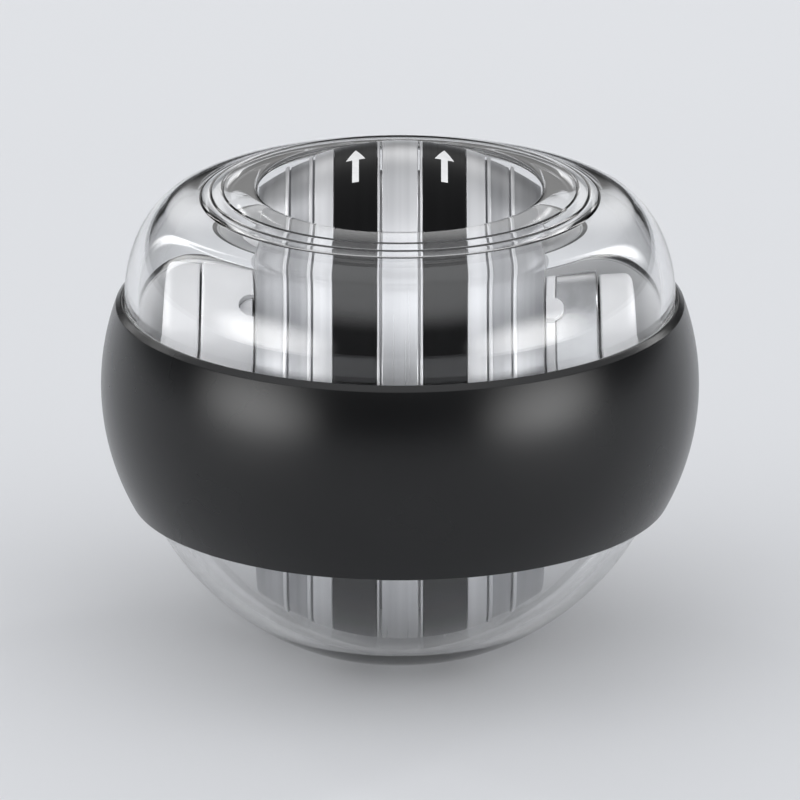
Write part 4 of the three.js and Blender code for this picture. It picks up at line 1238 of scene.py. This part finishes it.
def soften(lamp):
    """Fades a softbox out towards its rim, by the distance from its middle in half sizes."""
    lamp.use_nodes = True
    tree = lamp.node_tree
    place = tree.nodes.new("ShaderNodeNewGeometry").outputs["Parametric"]
    centred = tree.nodes.new("ShaderNodeMapping")
    centred.inputs["Location"].default_value = (-1, -1, 0)
    centred.inputs["Scale"].default_value = (2, 2, 1)
    gradient = tree.nodes.new("ShaderNodeTexGradient")
    gradient.gradient_type = "SPHERICAL"
    fade = range_step(tree, start=0, end=LAMP_SOFTNESS, low=0, high=1)
    fade.interpolation_type = "SMOOTHSTEP"
    tree.links.new(place, centred.inputs["Vector"])
    tree.links.new(centred.outputs["Vector"], gradient.inputs["Vector"])
    tree.links.new(gradient.outputs["Fac"], fade.inputs["Value"])
    tree.links.new(fade.outputs["Result"], tree.nodes["Emission"].inputs["Strength"])


def area_light(name, azimuth, elevation, width, height, radiance):
    """A softbox aimed at the ball, placed by its azimuth from the camera's side and its elevation."""
    lamp = bpy.data.lights.new(name, "AREA")
    lamp.shape = "RECTANGLE"
    lamp.size = width
    lamp.size_y = height
    lamp.energy = radiance * math.pi * width * height
    soften(lamp)
    holder = linked(name, lamp)
    flat = math.cos(radians(elevation))
    way = Vector((
        math.sin(radians(azimuth)) * flat,
        -math.cos(radians(azimuth)) * flat,
        math.sin(radians(elevation)),
    ))
    holder.location = CENTRE + way * LAMP_DISTANCE
    holder.rotation_euler = (-way).to_track_quat("-Z", "Y").to_euler()


def lights():
    """Two soft lamps in front, narrow ones behind for the rims, a faint one at the back and the dome."""
    for side in (-1, 1):
        area_light("front_softbox", azimuth=side * 57, elevation=6, width=1.15, height=0.6, radiance=6.6)
    for azimuth, width in ((-124, 0.08), (-142, 0.1), (132, 0.16)):
        area_light("rim_softbox", azimuth, elevation=28, width=width, height=0.9, radiance=7.0)
    area_light("back_softbox", azimuth=180, elevation=22, width=1.2, height=0.5, radiance=1.1)
    dome()


def dome():
    """A soft dome of light overhead, dimmer at the back, that grows dark towards the floor."""
    world = bpy.data.worlds.new("studio")
    bpy.context.scene.world = world
    world.use_nodes = True
    tree = world.node_tree
    background = tree.nodes["Background"]
    background.inputs["Color"].default_value = DOME_COLOUR
    apart = tree.nodes.new("ShaderNodeSeparateXYZ")
    tree.links.new(tree.nodes.new("ShaderNodeTexCoord").outputs["Generated"], apart.inputs["Vector"])

    def fade(axis, start, end, low, high):
        step = range_step(tree, start, end, low, high)
        step.interpolation_type = "SMOOTHSTEP"
        tree.links.new(apart.outputs[axis], step.inputs["Value"])
        return step.outputs["Result"]

    product = tree.nodes.new("ShaderNodeMath")
    product.operation = "MULTIPLY"
    tree.links.new(fade("Z", start=0.32, end=0.8, low=0.05, high=1.3), product.inputs[0])
    tree.links.new(fade("Y", start=-0.05, end=0.35, low=1, high=0.6), product.inputs[1])
    tree.links.new(product.outputs["Value"], background.inputs["Strength"])


def camera():
    """The photograph's view: nearly parallel, from the front and a little above."""
    data = bpy.data.cameras.new("camera")
    data.sensor_width = SENSOR
    width = PHOTO_SIDE / PHOTO_SCALE * MM
    data.lens = SENSOR * CAMERA_DISTANCE / width
    data.clip_start = CLIP_START
    data.clip_end = CLIP_END
    holder = linked("camera", data)
    tilt = radians(CAMERA_ELEVATION)
    backward = Vector((0, -math.cos(tilt), math.sin(tilt)))
    upward = Vector((0, math.sin(tilt), math.cos(tilt)))
    below = (PHOTO_SIDE / 2 - PHOTO_CENTRE[1]) / PHOTO_SCALE * MM
    aim = CENTRE - upward * below
    holder.location = aim + backward * CAMERA_DISTANCE
    holder.rotation_euler = (radians(90) - tilt, 0, 0)
    bpy.context.scene.camera = holder


lower_shell()
upper_shell()
grip_band()
flywheel()
rotor_halves()
tread(-1, "left_tread_band", "left_tread")
tread(1, "right_tread_band", "right_tread")
arrows()
axle()
gimbal_ring()
bearing_housing()
housing_lid()
end_covers()
spring_barrel()
barrel_lid()
cover_screws(-1, "left")
cover_screws(1, "right")
finish_kept_nodes()
floor()
lights()
camera()
bpy.context.scene.view_settings.view_transform = "Standard"
